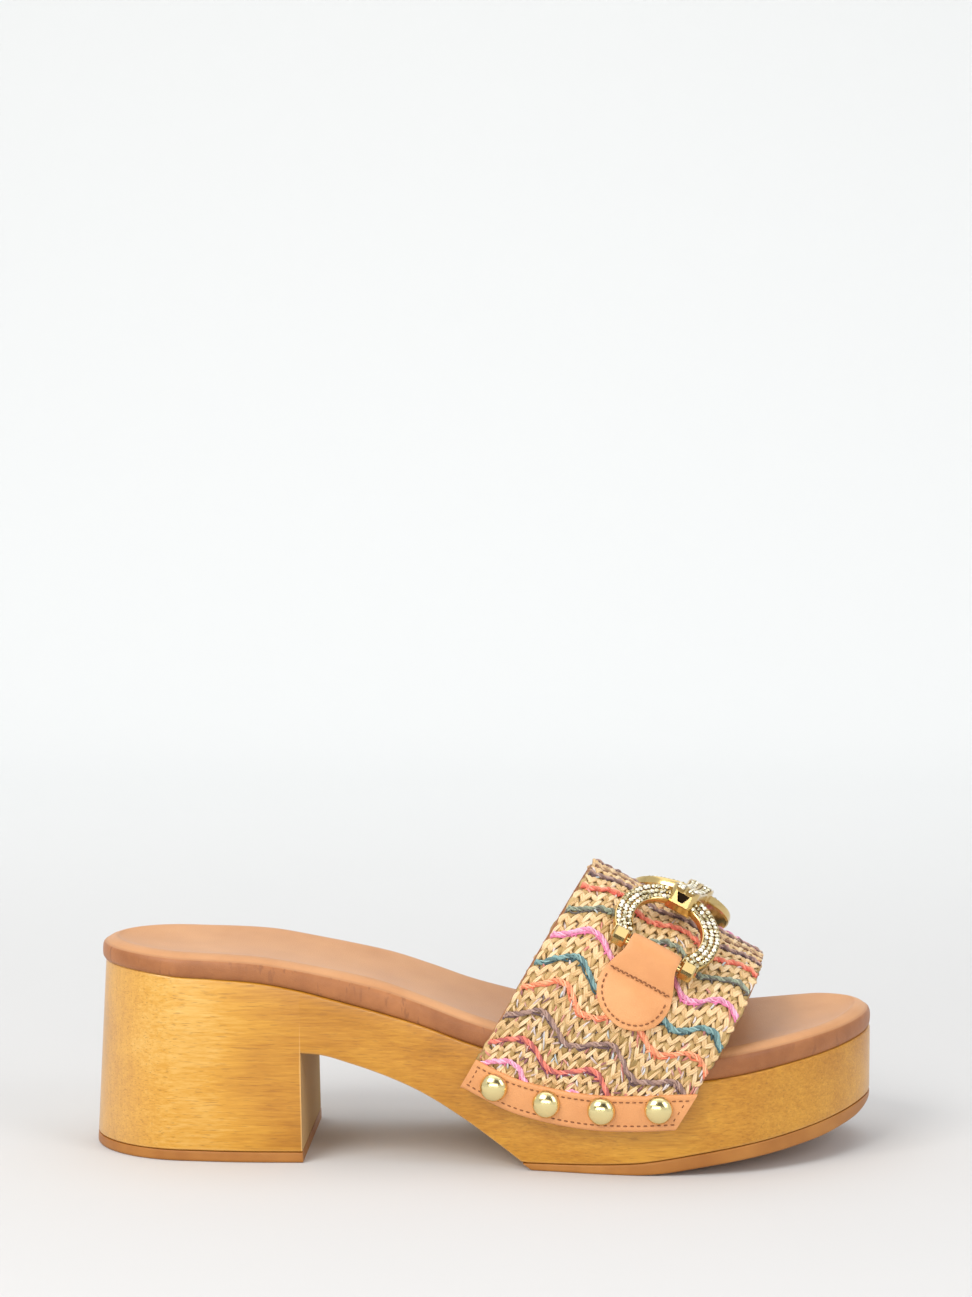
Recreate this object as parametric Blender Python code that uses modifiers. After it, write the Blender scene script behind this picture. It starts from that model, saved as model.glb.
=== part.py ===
"""Platform mule for the right foot, in metres.

The toe points along +X, the medial (big toe) side along +Y, and the shoe stands on z = 0.
Places along the shoe are first measured from the back of the heel at x = 0, and the last step
moves the empty that carries every piece, so that the centre of the footprint is the origin.
"""

import math

import bmesh
import bpy
import numpy as np
from mathutils import Matrix, Vector

# Clearance between pieces that touch on the real shoe
GAP = 0.0003

# Sole, from the floor up
LENGTH = 0.255
BALL_WIDTH = 0.088
HEEL_SEAM = 0.0612
BALL_SEAM = 0.030
TOE_RISE = 0.0078
HEEL_LENGTH = 0.0710
ARCH_HEIGHT = 0.0354
FOREFOOT_START = 0.1449
TOE_SPRING = 0.0144
TOP_LIFT = 0.0035
RUBBER = 0.0045
WOOD_EDGE = 0.0009
RUBBER_EDGE = 0.0008

# Rounding of the plan at both ends, and where the toe's tip lies
HEEL_ROUND = 0.032
TOE_ROUND = 0.020
TOE_TIP_SIDE = 0.014
END_WIDTH = 0.06

# The heel block narrows upwards about this point, and the footbed overhangs it a little
HEEL_CENTRE = 0.048
HEEL_TAPER = 0.068
FOOTBED_TAPER = 0.046
TAPER_END = 0.115

# Padded footbed
FOOTBED = 0.0090
FOOTBED_CUP = 0.0024
FOOTBED_SHOULDER = 0.0032
FOOTBED_TUCK = 0.0008

# Band of woven straw: its crest line, the lean and skew of its sections, and its wall
BAND_BACK = 0.1622
BAND_BACK_HEIGHT = 0.0905
BAND_FRONT = 0.2172
BAND_FRONT_HEIGHT = 0.0585
BAND_LEAN = math.radians(30.0)
BAND_SKEW = 0.075
BAND_POWER = 2.35
LEG_BACK_HEIGHT = 0.0500
LEG_FRONT_HEIGHT = 0.0415
BAND_DEPTH = math.hypot(BAND_FRONT - BAND_BACK, BAND_BACK_HEIGHT - BAND_FRONT_HEIGHT)
BAND_LEG = 0.070
BAND_REACH = 0.120
BAND_SPARE = 0.004
BAND_WALL = 0.0022
CORD_RELIEF = 0.0008
CORD_PITCH = 0.0097
CORD_START = 0.0061
WAVE_LENGTH = 0.0234
WAVE_CREST = 0.0110
WAVE_HEIGHT = 0.0030

# Lower edge of the band, and the leather strip that the studs hold
BASE_BACK = 0.1258
BASE_FRONT = 0.1934
BASE_LOW = 0.0156
BASE_RISE = 0.0116
STRIP_HEIGHT = 0.0106
STRIP_THICKNESS = 0.0015
STRIP_BEVEL = 0.0004
STUD_RADIUS = 0.0045
STUD_HEIGHT = 0.0034
STUD_COUNT = 4
STUD_RIM = 0.0007
STUD_RISE = 0.0054
STUD_CLIMB = 0.0012
STUD_END = 0.0090

# Bit: a ring on each side, a link between them and a leather tab below each ring
BIT_AT = 0.0310
RING_RADIUS = 0.0146
RING_WIDTH = 0.0060
RING_THICKNESS = 0.0030
RING_MOUTH = 0.0119
RING_DROP = 0.0124
BLOCK_SIZE = 0.0062
BLOCK_LENGTH = 0.0046
BLOCK_THICKNESS = 0.0044
BLOCK_BEVEL = 0.0007
PIN_RADIUS = 0.0013
PIN_LIFT = 0.0043
PIN_SIDE = 0.0418
LINK_WIDTH = 0.0091
LINK_BOTTOM = 0.0041
LINK_TOP = 0.0047
LINK_TOP_MEDIAL = 0.0041
LINK_WAIST = 0.0031
LINK_WALL = 0.0013
LINK_BEVEL = 0.0012
TAB_THICKNESS = 0.0023
TAB_PLAY = 0.0011
TAB_DISC = 0.0240
TAB_LENGTH = 0.0250
TAB_FOLD = 0.0018
TAB_EDGE = 0.0006
TAB_TIP = 0.0008
TAB_LEAN = 0.06

# How each side's ring lies: its rise over the level, and how much lower its front end is
LIE = {
    # side: tilt, skew
    -1.0: (math.radians(38.0), 0.11),
    1.0: (math.radians(28.0), 0.24),
}

# Link from one end to its waist: place from the ring's bar as a share of the collar's reach,
# width as a share of LINK_WIDTH and height of the top as a share of the collar's
LINK = np.array([
    # at, width, top
    (-1.00, 0.74, 0.60),
    (-0.82, 0.92, 0.86),
    (-0.40, 1.00, 1.00),
    (0.40, 1.00, 1.00),
    (0.90, 0.96, 0.86),
    (1.50, 0.86, 0.72),
])

# Fineness: least space between two stations along the shoe, reach over which the band's normal
# is taken, and rows, steps round and columns of its table
STATION_SPACE = 0.0020
NORMAL_REACH = 0.0012
TABLE_ROWS = 45
TABLE_TURNS = 385
TABLE_COLUMNS = 361

# Plan of the sole: place as a share of LENGTH, both edges as shares of BALL_WIDTH
PLAN = np.array([
    # at, lateral, medial
    (0.000, 0.330, 0.330),
    (0.118, 0.351, 0.350),
    (0.196, 0.366, 0.361),
    (0.294, 0.361, 0.347),
    (0.392, 0.364, 0.341),
    (0.490, 0.392, 0.358),
    (0.588, 0.443, 0.409),
    (0.667, 0.483, 0.460),
    (0.725, 0.494, 0.500),
    (0.784, 0.477, 0.506),
    (0.843, 0.426, 0.491),
    (0.902, 0.317, 0.468),
    (0.941, 0.228, 0.450),
    (0.980, 0.165, 0.412),
    (1.000, 0.140, 0.390),
])

# Top of the wood: place as a share of LENGTH, how much of the heel's extra height is left,
# how much of the toe's rise is reached, and the footbed's rim as a share of FOOTBED
SEAM = np.array([
    # at, heel, toe, rim
    (0.000, 1.000, 0.00, 0.80),
    (0.060, 0.975, 0.00, 0.82),
    (0.120, 0.940, 0.00, 0.86),
    (0.170, 0.925, 0.00, 0.87),
    (0.224, 0.895, 0.00, 0.88),
    (0.277, 0.819, 0.00, 0.92),
    (0.329, 0.714, 0.00, 1.02),
    (0.383, 0.594, 0.00, 1.08),
    (0.427, 0.486, 0.00, 1.02),
    (0.480, 0.335, 0.00, 1.00),
    (0.520, 0.238, 0.00, 1.00),
    (0.588, 0.098, 0.00, 1.00),
    (0.667, 0.012, 0.00, 1.00),
    (0.725, 0.000, 0.00, 1.00),
    (0.784, 0.000, 0.03, 1.00),
    (0.850, 0.000, 0.29, 0.97),
    (0.920, 0.000, 0.61, 0.93),
    (0.970, 0.000, 0.84, 0.89),
    (1.000, 0.000, 1.00, 0.87),
])

# Arch under the waist: place from the heel's breast to FOREFOOT_START, height of ARCH_HEIGHT
ARCH = np.array([
    # at, height
    (0.00, 1.000),
    (0.10, 0.982),
    (0.22, 0.912),
    (0.36, 0.812),
    (0.50, 0.685),
    (0.70, 0.440),
    (0.85, 0.225),
    (1.00, 0.000),
])

# Tread of the forefoot: place from FOREFOOT_START to the toe, its height as a share of
# TOE_SPRING and its thickness as a share of RUBBER
TREAD = np.array([
    # at, spring, thickness
    (0.00, 0.000, 0.52),
    (0.12, 0.000, 0.60),
    (0.24, 0.000, 0.74),
    (0.31, 0.006, 0.86),
    (0.38, 0.052, 0.97),
    (0.46, 0.145, 1.00),
    (0.60, 0.295, 1.03),
    (0.75, 0.450, 1.07),
    (0.90, 0.680, 1.02),
    (0.97, 0.850, 0.82),
    (1.00, 0.990, 0.50),
])

# Lower edge of the band: place from BASE_BACK to BASE_FRONT, height of BASE_RISE over BASE_LOW
BASE = np.array([
    # at, rise
    (0.00, 1.00),
    (0.10, 0.71),
    (0.21, 0.43),
    (0.42, 0.13),
    (0.62, 0.00),
    (0.80, 0.00),
    (1.00, 0.06),
])


def curve(at, stops, values):
    """Cubic curve through a table's rows, whose slope at a row averages its neighbours."""
    slopes = np.gradient(values, stops)
    row = np.clip(np.searchsorted(stops, at) - 1, 0, len(stops) - 2)
    span = stops[row + 1] - stops[row]
    t = np.clip((at - stops[row]) / span, 0.0, 1.0)
    start = (1.0 + 2.0 * t) * (1.0 - t) ** 2 * values[row]
    leave = t * (1.0 - t) ** 2 * span * slopes[row]
    arrive = t * t * (1.0 - t) * span * slopes[row + 1]
    end = t * t * (3.0 - 2.0 * t) * values[row + 1]
    return start + leave - arrive + end


def plan_edges(x, inset=0.0):
    """Lateral and medial edge at x: the plan's curve, closed by an elliptic cap at each end."""
    share = np.clip(x / LENGTH, 0.0, 1.0)
    lateral = inset - BALL_WIDTH * curve(share, PLAN[:, 0], PLAN[:, 1])
    medial = BALL_WIDTH * curve(share, PLAN[:, 0], PLAN[:, 2]) - inset
    heel = np.clip((x - inset) / (HEEL_ROUND - inset), 0.0, 1.0)
    toe = np.clip((LENGTH - inset - x) / (TOE_ROUND - inset), 0.0, 1.0)
    heel_cap = np.maximum(np.sqrt(1.0 - (1.0 - heel) ** 2), END_WIDTH)
    toe_cap = np.maximum(np.sqrt(1.0 - (1.0 - toe) ** 2), END_WIDTH)
    lateral = TOE_TIP_SIDE + (lateral * heel_cap - TOE_TIP_SIDE) * toe_cap
    medial = TOE_TIP_SIDE + (medial * heel_cap - TOE_TIP_SIDE) * toe_cap
    return lateral, medial


def seam_height(x):
    """Height of the top of the wood at x."""
    share = np.clip(x / LENGTH, 0.0, 1.0)
    heel = curve(share, SEAM[:, 0], SEAM[:, 1])
    toe = curve(share, SEAM[:, 0], SEAM[:, 2])
    return BALL_SEAM + (HEEL_SEAM - BALL_SEAM) * heel + TOE_RISE * toe


def rim_thickness(x):
    """Thickness of the footbed at its rim at x."""
    return FOOTBED * curve(np.clip(x / LENGTH, 0.0, 1.0), SEAM[:, 0], SEAM[:, 3])


def tread_share(x):
    """Place of x between the start of the forefoot's tread and the toe."""
    return np.clip((x - FOREFOOT_START) / (LENGTH - FOREFOOT_START), 0.0, 1.0)


def tread_height(x):
    """Height of the underside of the forefoot: on the floor first, then the toe spring."""
    return np.maximum(TOE_SPRING * curve(tread_share(x), TREAD[:, 0], TREAD[:, 1]), 0.0)


def rubber_top(x):
    """Height of the joint between the forefoot's rubber and the wood."""
    return tread_height(x) + RUBBER * curve(tread_share(x), TREAD[:, 0], TREAD[:, 2])


def wood_underside(x, under_heel):
    """Underside of the wood: the heel's seat, then the arch, then the forefoot's joint."""
    share = np.clip((x - HEEL_LENGTH) / (FOREFOOT_START - HEEL_LENGTH), 0.0, 1.0)
    arch = ARCH_HEIGHT * curve(share, ARCH[:, 0], ARCH[:, 1])
    return np.where(under_heel, TOP_LIFT + GAP, np.maximum(arch, rubber_top(x) + GAP))


def narrow_heel(points, taper_at_seam, by_height):
    """Scale the heel about its centre, by taper_at_seam at the top of the wood and, where
    by_height is set, less and less towards the floor. It fades out before TAPER_END."""
    fade = np.clip((TAPER_END - points[:, 0]) / (TAPER_END - HEEL_LENGTH), 0.0, 1.0)
    fade = fade * fade * (3.0 - 2.0 * fade)
    share = points[:, 2] / HEEL_SEAM if by_height else 1.0
    scale = 1.0 - taper_at_seam * share * fade
    points[:, 0] = HEEL_CENTRE + (points[:, 0] - HEEL_CENTRE) * scale
    points[:, 1] = points[:, 1] * scale
    return points


def stations(start, end, count, extra=()):
    """Places along the shoe, closer together at both ends, with some extra ones."""
    even = np.linspace(0.0, 1.0, count)
    bunched = (1.0 - np.cos(even * math.pi)) / 2.0
    x = start + (end - start) * (even + 2.0 * bunched) / 3.0
    x = x[[all(abs(value - other) > STATION_SPACE for other in extra) for value in x]]
    return np.sort(np.concatenate([x, np.array(extra)]))


def loop(x, inset, height):
    """One level loop of the plan: the lateral edge to the toe and the medial edge back."""
    heel_end = np.clip(1.0 - x / HEEL_ROUND, 0.0, 1.0)
    toe_end = np.clip(1.0 - (LENGTH - x) / TOE_ROUND, 0.0, 1.0)
    moved = x + inset * heel_end - inset * toe_end
    lateral, medial = plan_edges(moved, inset)
    out = np.stack([moved, lateral, height], axis=1)
    back = np.stack([moved, medial, height], axis=1)
    return np.concatenate([out, back[::-1]])


def solid(name, points, faces, finish):
    """Object of closed faces, with its normals turned outwards and its own material."""
    mesh = bpy.data.meshes.new(name)
    mesh.from_pydata([tuple(point) for point in points], [], faces)
    shape = bmesh.new()
    shape.from_mesh(mesh)
    bmesh.ops.remove_doubles(shape, verts=shape.verts, dist=1e-7)
    bmesh.ops.recalc_face_normals(shape, faces=shape.faces)
    shape.to_mesh(mesh)
    shape.free()
    mesh.shade_smooth()
    mesh.set_sharp_from_angle(angle=math.radians(40.0))
    mesh.materials.append(finish)
    piece = bpy.data.objects.new(name, mesh)
    piece.parent = carrier
    parts.objects.link(piece)
    return piece


def plate(name, loops, finish, hollow=0.0, across=2, reshape=None):
    """Solid between level loops of the plan, lowest first. The lowest and the highest loop
    are closed by rungs from edge to edge, and the upper rungs sink by hollow in the middle."""
    count = len(loops[0])
    half = count // 2
    top = (len(loops) - 1) * count
    points = [np.array(ring) for ring in loops]
    rungs = [[top + i for i in range(half)]]
    lateral = loops[-1][:half]
    medial = loops[-1][half:][::-1]
    for k in range(1, across):
        share = k / across
        rung = lateral + (medial - lateral) * share
        width = np.clip((medial - lateral)[:, 1] / BALL_WIDTH / 0.5, 0.0, 1.0)
        rung[:, 2] -= hollow * 4.0 * share * (1.0 - share) * width
        start = top + count + (k - 1) * half
        points.append(rung)
        rungs.append([start + i for i in range(half)])
    rungs.append([top + count - 1 - i for i in range(half)])

    faces = [(i, i + 1, count - 2 - i, count - 1 - i) for i in range(half - 1)]
    for level in range(len(loops) - 1):
        low = level * count
        for i in range(count):
            j = (i + 1) % count
            between = []
            if low + count == top and i == half - 1:
                between = [rung[-1] for rung in rungs[-2:0:-1]]
            if low + count == top and i == count - 1:
                between = [rung[0] for rung in rungs[1:-1]]
            faces.append((low + i, low + j, low + count + j, *between, low + count + i))
    for near, far in zip(rungs[:-1], rungs[1:]):
        for i in range(half - 1):
            faces.append((near[i], near[i + 1], far[i + 1], far[i]))
    points = np.concatenate(points)
    if reshape:
        points = reshape(points)
    return solid(name, points, faces, finish)


def finish_of(name, colour, roughness, metallic=0.0):
    """Material with a plain Principled shader."""
    made = bpy.data.materials.new(name)
    made.use_nodes = True
    shader = made.node_tree.nodes["Principled BSDF"]
    shader.inputs["Base Color"].default_value = (*colour, 1.0)
    shader.inputs["Roughness"].default_value = roughness
    shader.inputs["Metallic"].default_value = metallic
    made.diffuse_color = (*colour, 1.0)
    return made


def make_sole():
    """Wooden platform, the rubber under its forefoot, its heel's top lift and the footbed."""
    wood = finish_of("lacquered_wood", (0.66, 0.37, 0.12), 0.35)
    rubber = finish_of("amber_rubber", (0.38, 0.17, 0.04), 0.5)
    leather = finish_of("footbed_leather", (0.62, 0.36, 0.20), 0.5)

    breast = HEEL_LENGTH - GAP / 2.0, HEEL_LENGTH + GAP / 2.0
    x = stations(0.0, LENGTH, 48, breast)
    low = wood_underside(x, x < HEEL_LENGTH)
    high = seam_height(x)
    loops = [loop(x, WOOD_EDGE, low), loop(x, 0.0, low + WOOD_EDGE)]
    loops += [loop(x, 0.0, high - WOOD_EDGE), loop(x, WOOD_EDGE, high)]
    plate("wood_sole", loops, wood, reshape=lambda p: narrow_heel(p, HEEL_TAPER, True))

    x = stations(0.0, HEEL_LENGTH, 20)
    loops = [loop(x, RUBBER_EDGE, 0.0 * x), loop(x, 0.0, 0.0 * x + RUBBER_EDGE)]
    loops += [loop(x, 0.0, 0.0 * x + TOP_LIFT)]
    plate("heel_top_lift", loops, rubber, reshape=lambda p: narrow_heel(p, HEEL_TAPER, True))

    x = stations(FOREFOOT_START, LENGTH, 28)
    arch_slope = (ARCH[-2, 0] - ARCH[-1, 0]) * (FOREFOOT_START - HEEL_LENGTH)
    arch_slope = arch_slope / (ARCH_HEIGHT * ARCH[-2, 1])
    back = np.clip(1.0 - (x - FOREFOOT_START) / RUBBER, 0.0, 1.0)
    low = tread_height(x)
    high = rubber_top(x)
    loops = []
    for inset, height in ((RUBBER_EDGE, low), (0.0, low + RUBBER_EDGE), (0.0, high)):
        ring = loop(x, inset, height)
        slant = np.concatenate([back, back[::-1]]) * ring[:, 2] * arch_slope
        ring[:, 0] += slant
        loops.append(ring)
    plate("forefoot_outsole", loops, rubber)

    x = stations(0.0, LENGTH, 48)
    base = seam_height(x)
    rim = rim_thickness(x)
    levels = (
        # inset, share of the rim's thickness
        (FOOTBED_TUCK, 0.0),
        (0.0000, 0.25),
        (0.0000, 0.62),
        (0.30 * FOOTBED_SHOULDER, 0.88),
        (FOOTBED_SHOULDER, 1.0),
    )
    loops = [loop(x, inset, base + GAP + (rim - GAP) * share) for inset, share in levels]
    plate("footbed", loops, leather, hollow=FOOTBED_CUP, across=6,
          reshape=lambda p: narrow_heel(p, FOOTBED_TAPER, False))


def band_frame(e):
    """Crest point at e, the distance along the crest from the band's back edge."""
    run = BAND_FRONT - BAND_BACK
    fall = BAND_BACK_HEIGHT - BAND_FRONT_HEIGHT
    share = e / BAND_DEPTH
    return BAND_BACK + run * share, BAND_BACK_HEIGHT - fall * share, share


def base_height(x):
    """Height of the band's lower edge at x, before the skew."""
    share = np.clip((x - BASE_BACK) / (BASE_FRONT - BASE_BACK), 0.0, 1.0)
    return BASE_LOW + BASE_RISE * curve(share, BASE[:, 0], BASE[:, 1])


def band_table():
    """The last under the band, as points on an even grid of e and w.

    e runs along the crest, and w is the distance round the last from the crest, negative on
    the lateral side. Each section lies in a plane that leans back by BAND_LEAN and is turned
    by BAND_SKEW: a superellipse down to the leg's top, then the outline of the wood."""
    e = np.linspace(-BAND_SPARE, BAND_DEPTH + BAND_SPARE, TABLE_ROWS)[:, None]
    crest_x, crest_z, share = band_frame(e)
    leg_top = LEG_BACK_HEIGHT + (LEG_FRONT_HEIGHT - LEG_BACK_HEIGHT) * share
    arch = (crest_z - leg_top) / math.cos(BAND_LEAN)
    turn = np.linspace(-1.6, 1.6, TABLE_TURNS)[None, :]
    angle = np.clip(np.abs(turn), 0.0, 1.0) * math.pi / 2.0
    width = np.sin(angle) ** (2.0 / BAND_POWER)
    drop = arch * (1.0 - np.cos(angle) ** (2.0 / BAND_POWER))
    drop = drop + np.maximum(np.abs(turn) - 1.0, 0.0) * BAND_LEG
    x_plain = crest_x - math.sin(BAND_LEAN) * drop
    z = crest_z - math.cos(BAND_LEAN) * drop
    y = 0.0 * x_plain
    for _ in range(3):
        lateral, medial = plan_edges(x_plain + BAND_SKEW * y)
        edge = np.where(turn < 0.0, lateral - GAP, medial + GAP)
        y = edge * width
    points = np.stack([x_plain + BAND_SKEW * y, y, z + 0.0 * y], axis=2)
    steps = np.linalg.norm(np.diff(points, axis=1), axis=2)
    length = np.concatenate([np.zeros((len(e), 1)), np.cumsum(steps, axis=1)], axis=1)
    length = length - length[:, [length.shape[1] // 2]]
    w = np.linspace(-BAND_REACH, BAND_REACH, TABLE_COLUMNS)
    even = np.empty((len(e), len(w), 3))
    floor = np.empty((len(e), 2, 2))
    for row in range(len(e)):
        for axis in range(3):
            even[row, :, axis] = np.interp(w, length[row], points[row, :, axis])
        over = z[row] - base_height(x_plain[row])
        for column, rise in enumerate((0.0, STRIP_HEIGHT)):
            half = len(over) // 2
            level = over - rise
            floor[row, column, 0] = np.interp(0.0, level[:half], length[row, :half])
            floor[row, column, 1] = np.interp(0.0, level[:half:-1], length[row, :half:-1])
    return e[:, 0], w, even, floor


def sample(e, w):
    """Point of the last at e and w, by straight interpolation in the band's table."""
    es, ws, even, _ = LAST
    row = np.clip((e - es[0]) / (es[1] - es[0]), 0.0, len(es) - 1.001)
    col = np.clip((w - ws[0]) / (ws[1] - ws[0]), 0.0, len(ws) - 1.001)
    i = row.astype(int)
    j = col.astype(int)
    a = (row - i)[..., None]
    b = (col - j)[..., None]
    near = even[i, j] * (1.0 - b) + even[i, j + 1] * b
    far = even[i + 1, j] * (1.0 - b) + even[i + 1, j + 1] * b
    return near * (1.0 - a) + far * a


def on_band(e, w, lift):
    """Point at a height over the last, along its normal."""
    e, w, lift = np.broadcast_arrays(e, w, lift)
    along = sample(e + NORMAL_REACH, w) - sample(e - NORMAL_REACH, w)
    round_it = sample(e, w + NORMAL_REACH) - sample(e, w - NORMAL_REACH)
    normal = np.cross(along, round_it)
    normal /= np.linalg.norm(normal, axis=-1)[..., None]
    return sample(e, w) + normal * lift[..., None]


def edge_w(e, column, side):
    """w of the band's lower edge (column 0) or of the strip's upper edge (column 1)."""
    return np.interp(e, LAST[0], LAST[3][:, column, side])


def grid_faces(start, rows, columns, wrap=False):
    """Quads of a grid of points numbered row by row."""
    faces = []
    for i in range(rows - 1):
        for j in range(columns if wrap else columns - 1):
            k = (j + 1) % columns
            low = start + i * columns
            faces.append((low + j, low + k, low + columns + k, low + columns + j))
    return faces


def tube_solid(name, rings, finish):
    """Solid through closed rings of points, with a flat cap at each end."""
    rows, columns = rings.shape[:2]
    faces = grid_faces(0, rows, columns, wrap=True)
    faces.append(tuple(range(columns)))
    faces.append(tuple((rows - 1) * columns + j for j in reversed(range(columns))))
    return solid(name, rings.reshape(-1, 3), faces, finish)


def make_upper():
    """Arched band with raised wavy cords, open at the toe, at the heel and underneath."""
    straw = finish_of("woven_straw", (0.62, 0.44, 0.24), 0.7)
    outer_rows, inner_rows, columns = 21, 11, 81
    share = np.linspace(0.0, 1.0, columns)[None, :]

    def shell(rows, relief):
        e = np.linspace(0.0, BAND_DEPTH, rows)[:, None]
        low = edge_w(e, 0, 0)
        high = edge_w(e, 0, 1)
        w = low + (high - low) * share
        if not relief:
            return on_band(e, w, 0.0 * w)
        wave = WAVE_HEIGHT * np.cos(2.0 * math.pi * (e - WAVE_CREST) / WAVE_LENGTH)
        cord = 0.5 + 0.5 * np.cos(2.0 * math.pi * (w - wave + CORD_START) / CORD_PITCH)
        return on_band(e, w, BAND_WALL + CORD_RELIEF * cord ** 2)

    outer = shell(outer_rows, True)
    inner = shell(inner_rows, False)
    points = np.concatenate([outer.reshape(-1, 3), inner.reshape(-1, 3)])
    skip = outer_rows * columns
    step = (outer_rows - 1) // (inner_rows - 1)
    faces = grid_faces(0, outer_rows, columns) + grid_faces(skip, inner_rows, columns)
    for out_row, in_row in ((0, 0), (outer_rows - 1, inner_rows - 1)):
        for j in range(columns - 1):
            a = out_row * columns + j
            b = skip + in_row * columns + j
            faces.append((a, a + 1, b + 1, b))
    for j in (0, columns - 1):
        for i in range(inner_rows - 1):
            rim = [(i * step + k) * columns + j for k in range(step + 1)]
            faces.append(tuple(rim + [skip + (i + 1) * columns + j, skip + i * columns + j]))
    solid("upper", points, faces, straw)


def make_strips_and_studs():
    """Leather strip over each lower edge of the band, held by domed studs."""
    leather = finish_of("strip_leather", (0.72, 0.32, 0.11), 0.45)
    brass = finish_of("gold_stud", (0.75, 0.62, 0.32), 0.2, 1.0)
    clear = BAND_WALL + CORD_RELIEF + GAP
    bevel = STRIP_BEVEL / STRIP_HEIGHT
    for side, word in ((0, "lateral"), (1, "medial")):
        e = np.linspace(0.0, BAND_DEPTH, 25)[:, None]
        low = edge_w(e, 0, side)
        high = edge_w(e, 1, side)
        ring = (
            # share of the strip's height, share of its thickness
            (0.00, 0.0), (0.00, 0.7), (bevel, 1.0), (0.33, 1.0), (0.67, 1.0),
            (1.0 - bevel, 1.0), (1.00, 0.7), (1.00, 0.0), (0.67, 0.0), (0.33, 0.0),
        )
        rings = [on_band(e, low + (high - low) * up, clear + STRIP_THICKNESS * out)[:, 0]
                 for up, out in ring]
        tube_solid("side_strip_" + word, np.stack(rings, axis=1), leather)
        up = STUD_RISE / STRIP_HEIGHT
        line = on_band(e, low * (1.0 - up) + high * up, clear)[:, 0]
        steps = np.linalg.norm(np.diff(line, axis=0), axis=1)
        length = np.concatenate([[0.0], np.cumsum(steps)])
        for number in range(STUD_COUNT):
            share = number / (STUD_COUNT - 1)
            along = STUD_END + (length[-1] - 2.0 * STUD_END) * share
            place = np.interp(along, length, e[:, 0])
            rise = STUD_RISE + STUD_CLIMB * share
            make_stud("stud_%s_%d" % (word, number + 1), place, side, rise, brass)


def make_stud(name, place, side, rise, finish):
    """Turned dome seated on the strip, its axis along the strip's normal."""
    e = np.array(place)
    up = rise / STRIP_HEIGHT
    w = edge_w(e, 0, side) * (1.0 - up) + edge_w(e, 1, side) * up
    seat = BAND_WALL + CORD_RELIEF + STRIP_THICKNESS + 2.0 * GAP
    foot = on_band(e, w, np.array(seat))
    head = on_band(e, w, np.array(seat + STUD_HEIGHT))
    turn = np.linspace(0.0, math.pi / 2.0, 4)
    dome = STUD_HEIGHT - STUD_RIM
    profile = [(STUD_RADIUS * math.sin(t), 0.0, STUD_RIM + dome * math.cos(t)) for t in turn]
    profile += [(STUD_RADIUS, 0.0, 0.0), (0.0, 0.0, 0.0)]
    mesh = bpy.data.meshes.new(name)
    mesh.from_pydata(profile, [(i, i + 1) for i in range(len(profile) - 1)], [])
    mesh.materials.append(finish)
    stud = bpy.data.objects.new(name, mesh)
    screw = stud.modifiers.new("turned", "SCREW")
    screw.steps = 12
    screw.render_steps = 12
    screw.use_merge_vertices = True
    screw.merge_threshold = 0.00001
    screw.use_smooth_shade = True
    stud.location = Vector(foot)
    stud.rotation_mode = "QUATERNION"
    stud.rotation_quaternion = Vector(head - foot).to_track_quat("Z", "Y")
    stud.parent = carrier
    parts.objects.link(stud)


def bit_point(p, q, lift):
    """Point over the band's cords: p forward of the bit's line, q round the band from its
    crest as a real length at the pin's height, and lift over the cords."""
    p, q, lift = np.broadcast_arrays(p, q, lift)
    rise = BAND_WALL + CORD_RELIEF
    w = np.linspace(-0.7 * BAND_REACH, 0.7 * BAND_REACH, 169)
    e = np.full_like(w, BIT_AT)
    high = on_band(e, w, np.full_like(w, rise + PIN_LIFT / 2.0))
    steps = np.linalg.norm(np.diff(high, axis=0), axis=1)
    length = np.concatenate([[0.0], np.cumsum(steps)])
    length = length - length[len(w) // 2]
    return on_band(BIT_AT + p, np.interp(q, length, w), rise + lift)


def unit(vector):
    """The vector with a length of one."""
    return vector / np.linalg.norm(vector)


def pin_line(side):
    """Two points of a pin's axis, RING_MOUTH back and forward of the bit's line."""
    turn = LIE[side][1] * RING_MOUTH
    back = bit_point(-RING_MOUTH, side * (PIN_SIDE - turn), PIN_LIFT)
    front = bit_point(RING_MOUTH, side * (PIN_SIDE + turn), PIN_LIFT)
    return back, front


def ring_frame(side):
    """Middle of a ring's pin, and the ring's directions along the pin, up the ring and out."""
    tilt = LIE[side][0]
    back, front = pin_line(side)
    along = unit(front - back)
    run = BAND_FRONT - BAND_BACK
    fall = BAND_BACK_HEIGHT - BAND_FRONT_HEIGHT
    crest = unit(np.array((fall, 0.0, run)))
    inward = np.array((0.0, -side, 0.0))
    up = math.cos(tilt) * inward + math.sin(tilt) * crest
    up = unit(up - along * np.dot(up, along))
    return (back + front) / 2.0, along, up, np.cross(along, up) * side * -1.0


def in_frame(frame, p, q, out):
    """Point at p, q and out in a frame of a middle and three directions."""
    middle, along, up, outward = frame
    p, q, out = (np.asarray(value)[..., None] for value in np.broadcast_arrays(p, q, out))
    return middle + p * along + q * up + out * outward


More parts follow.
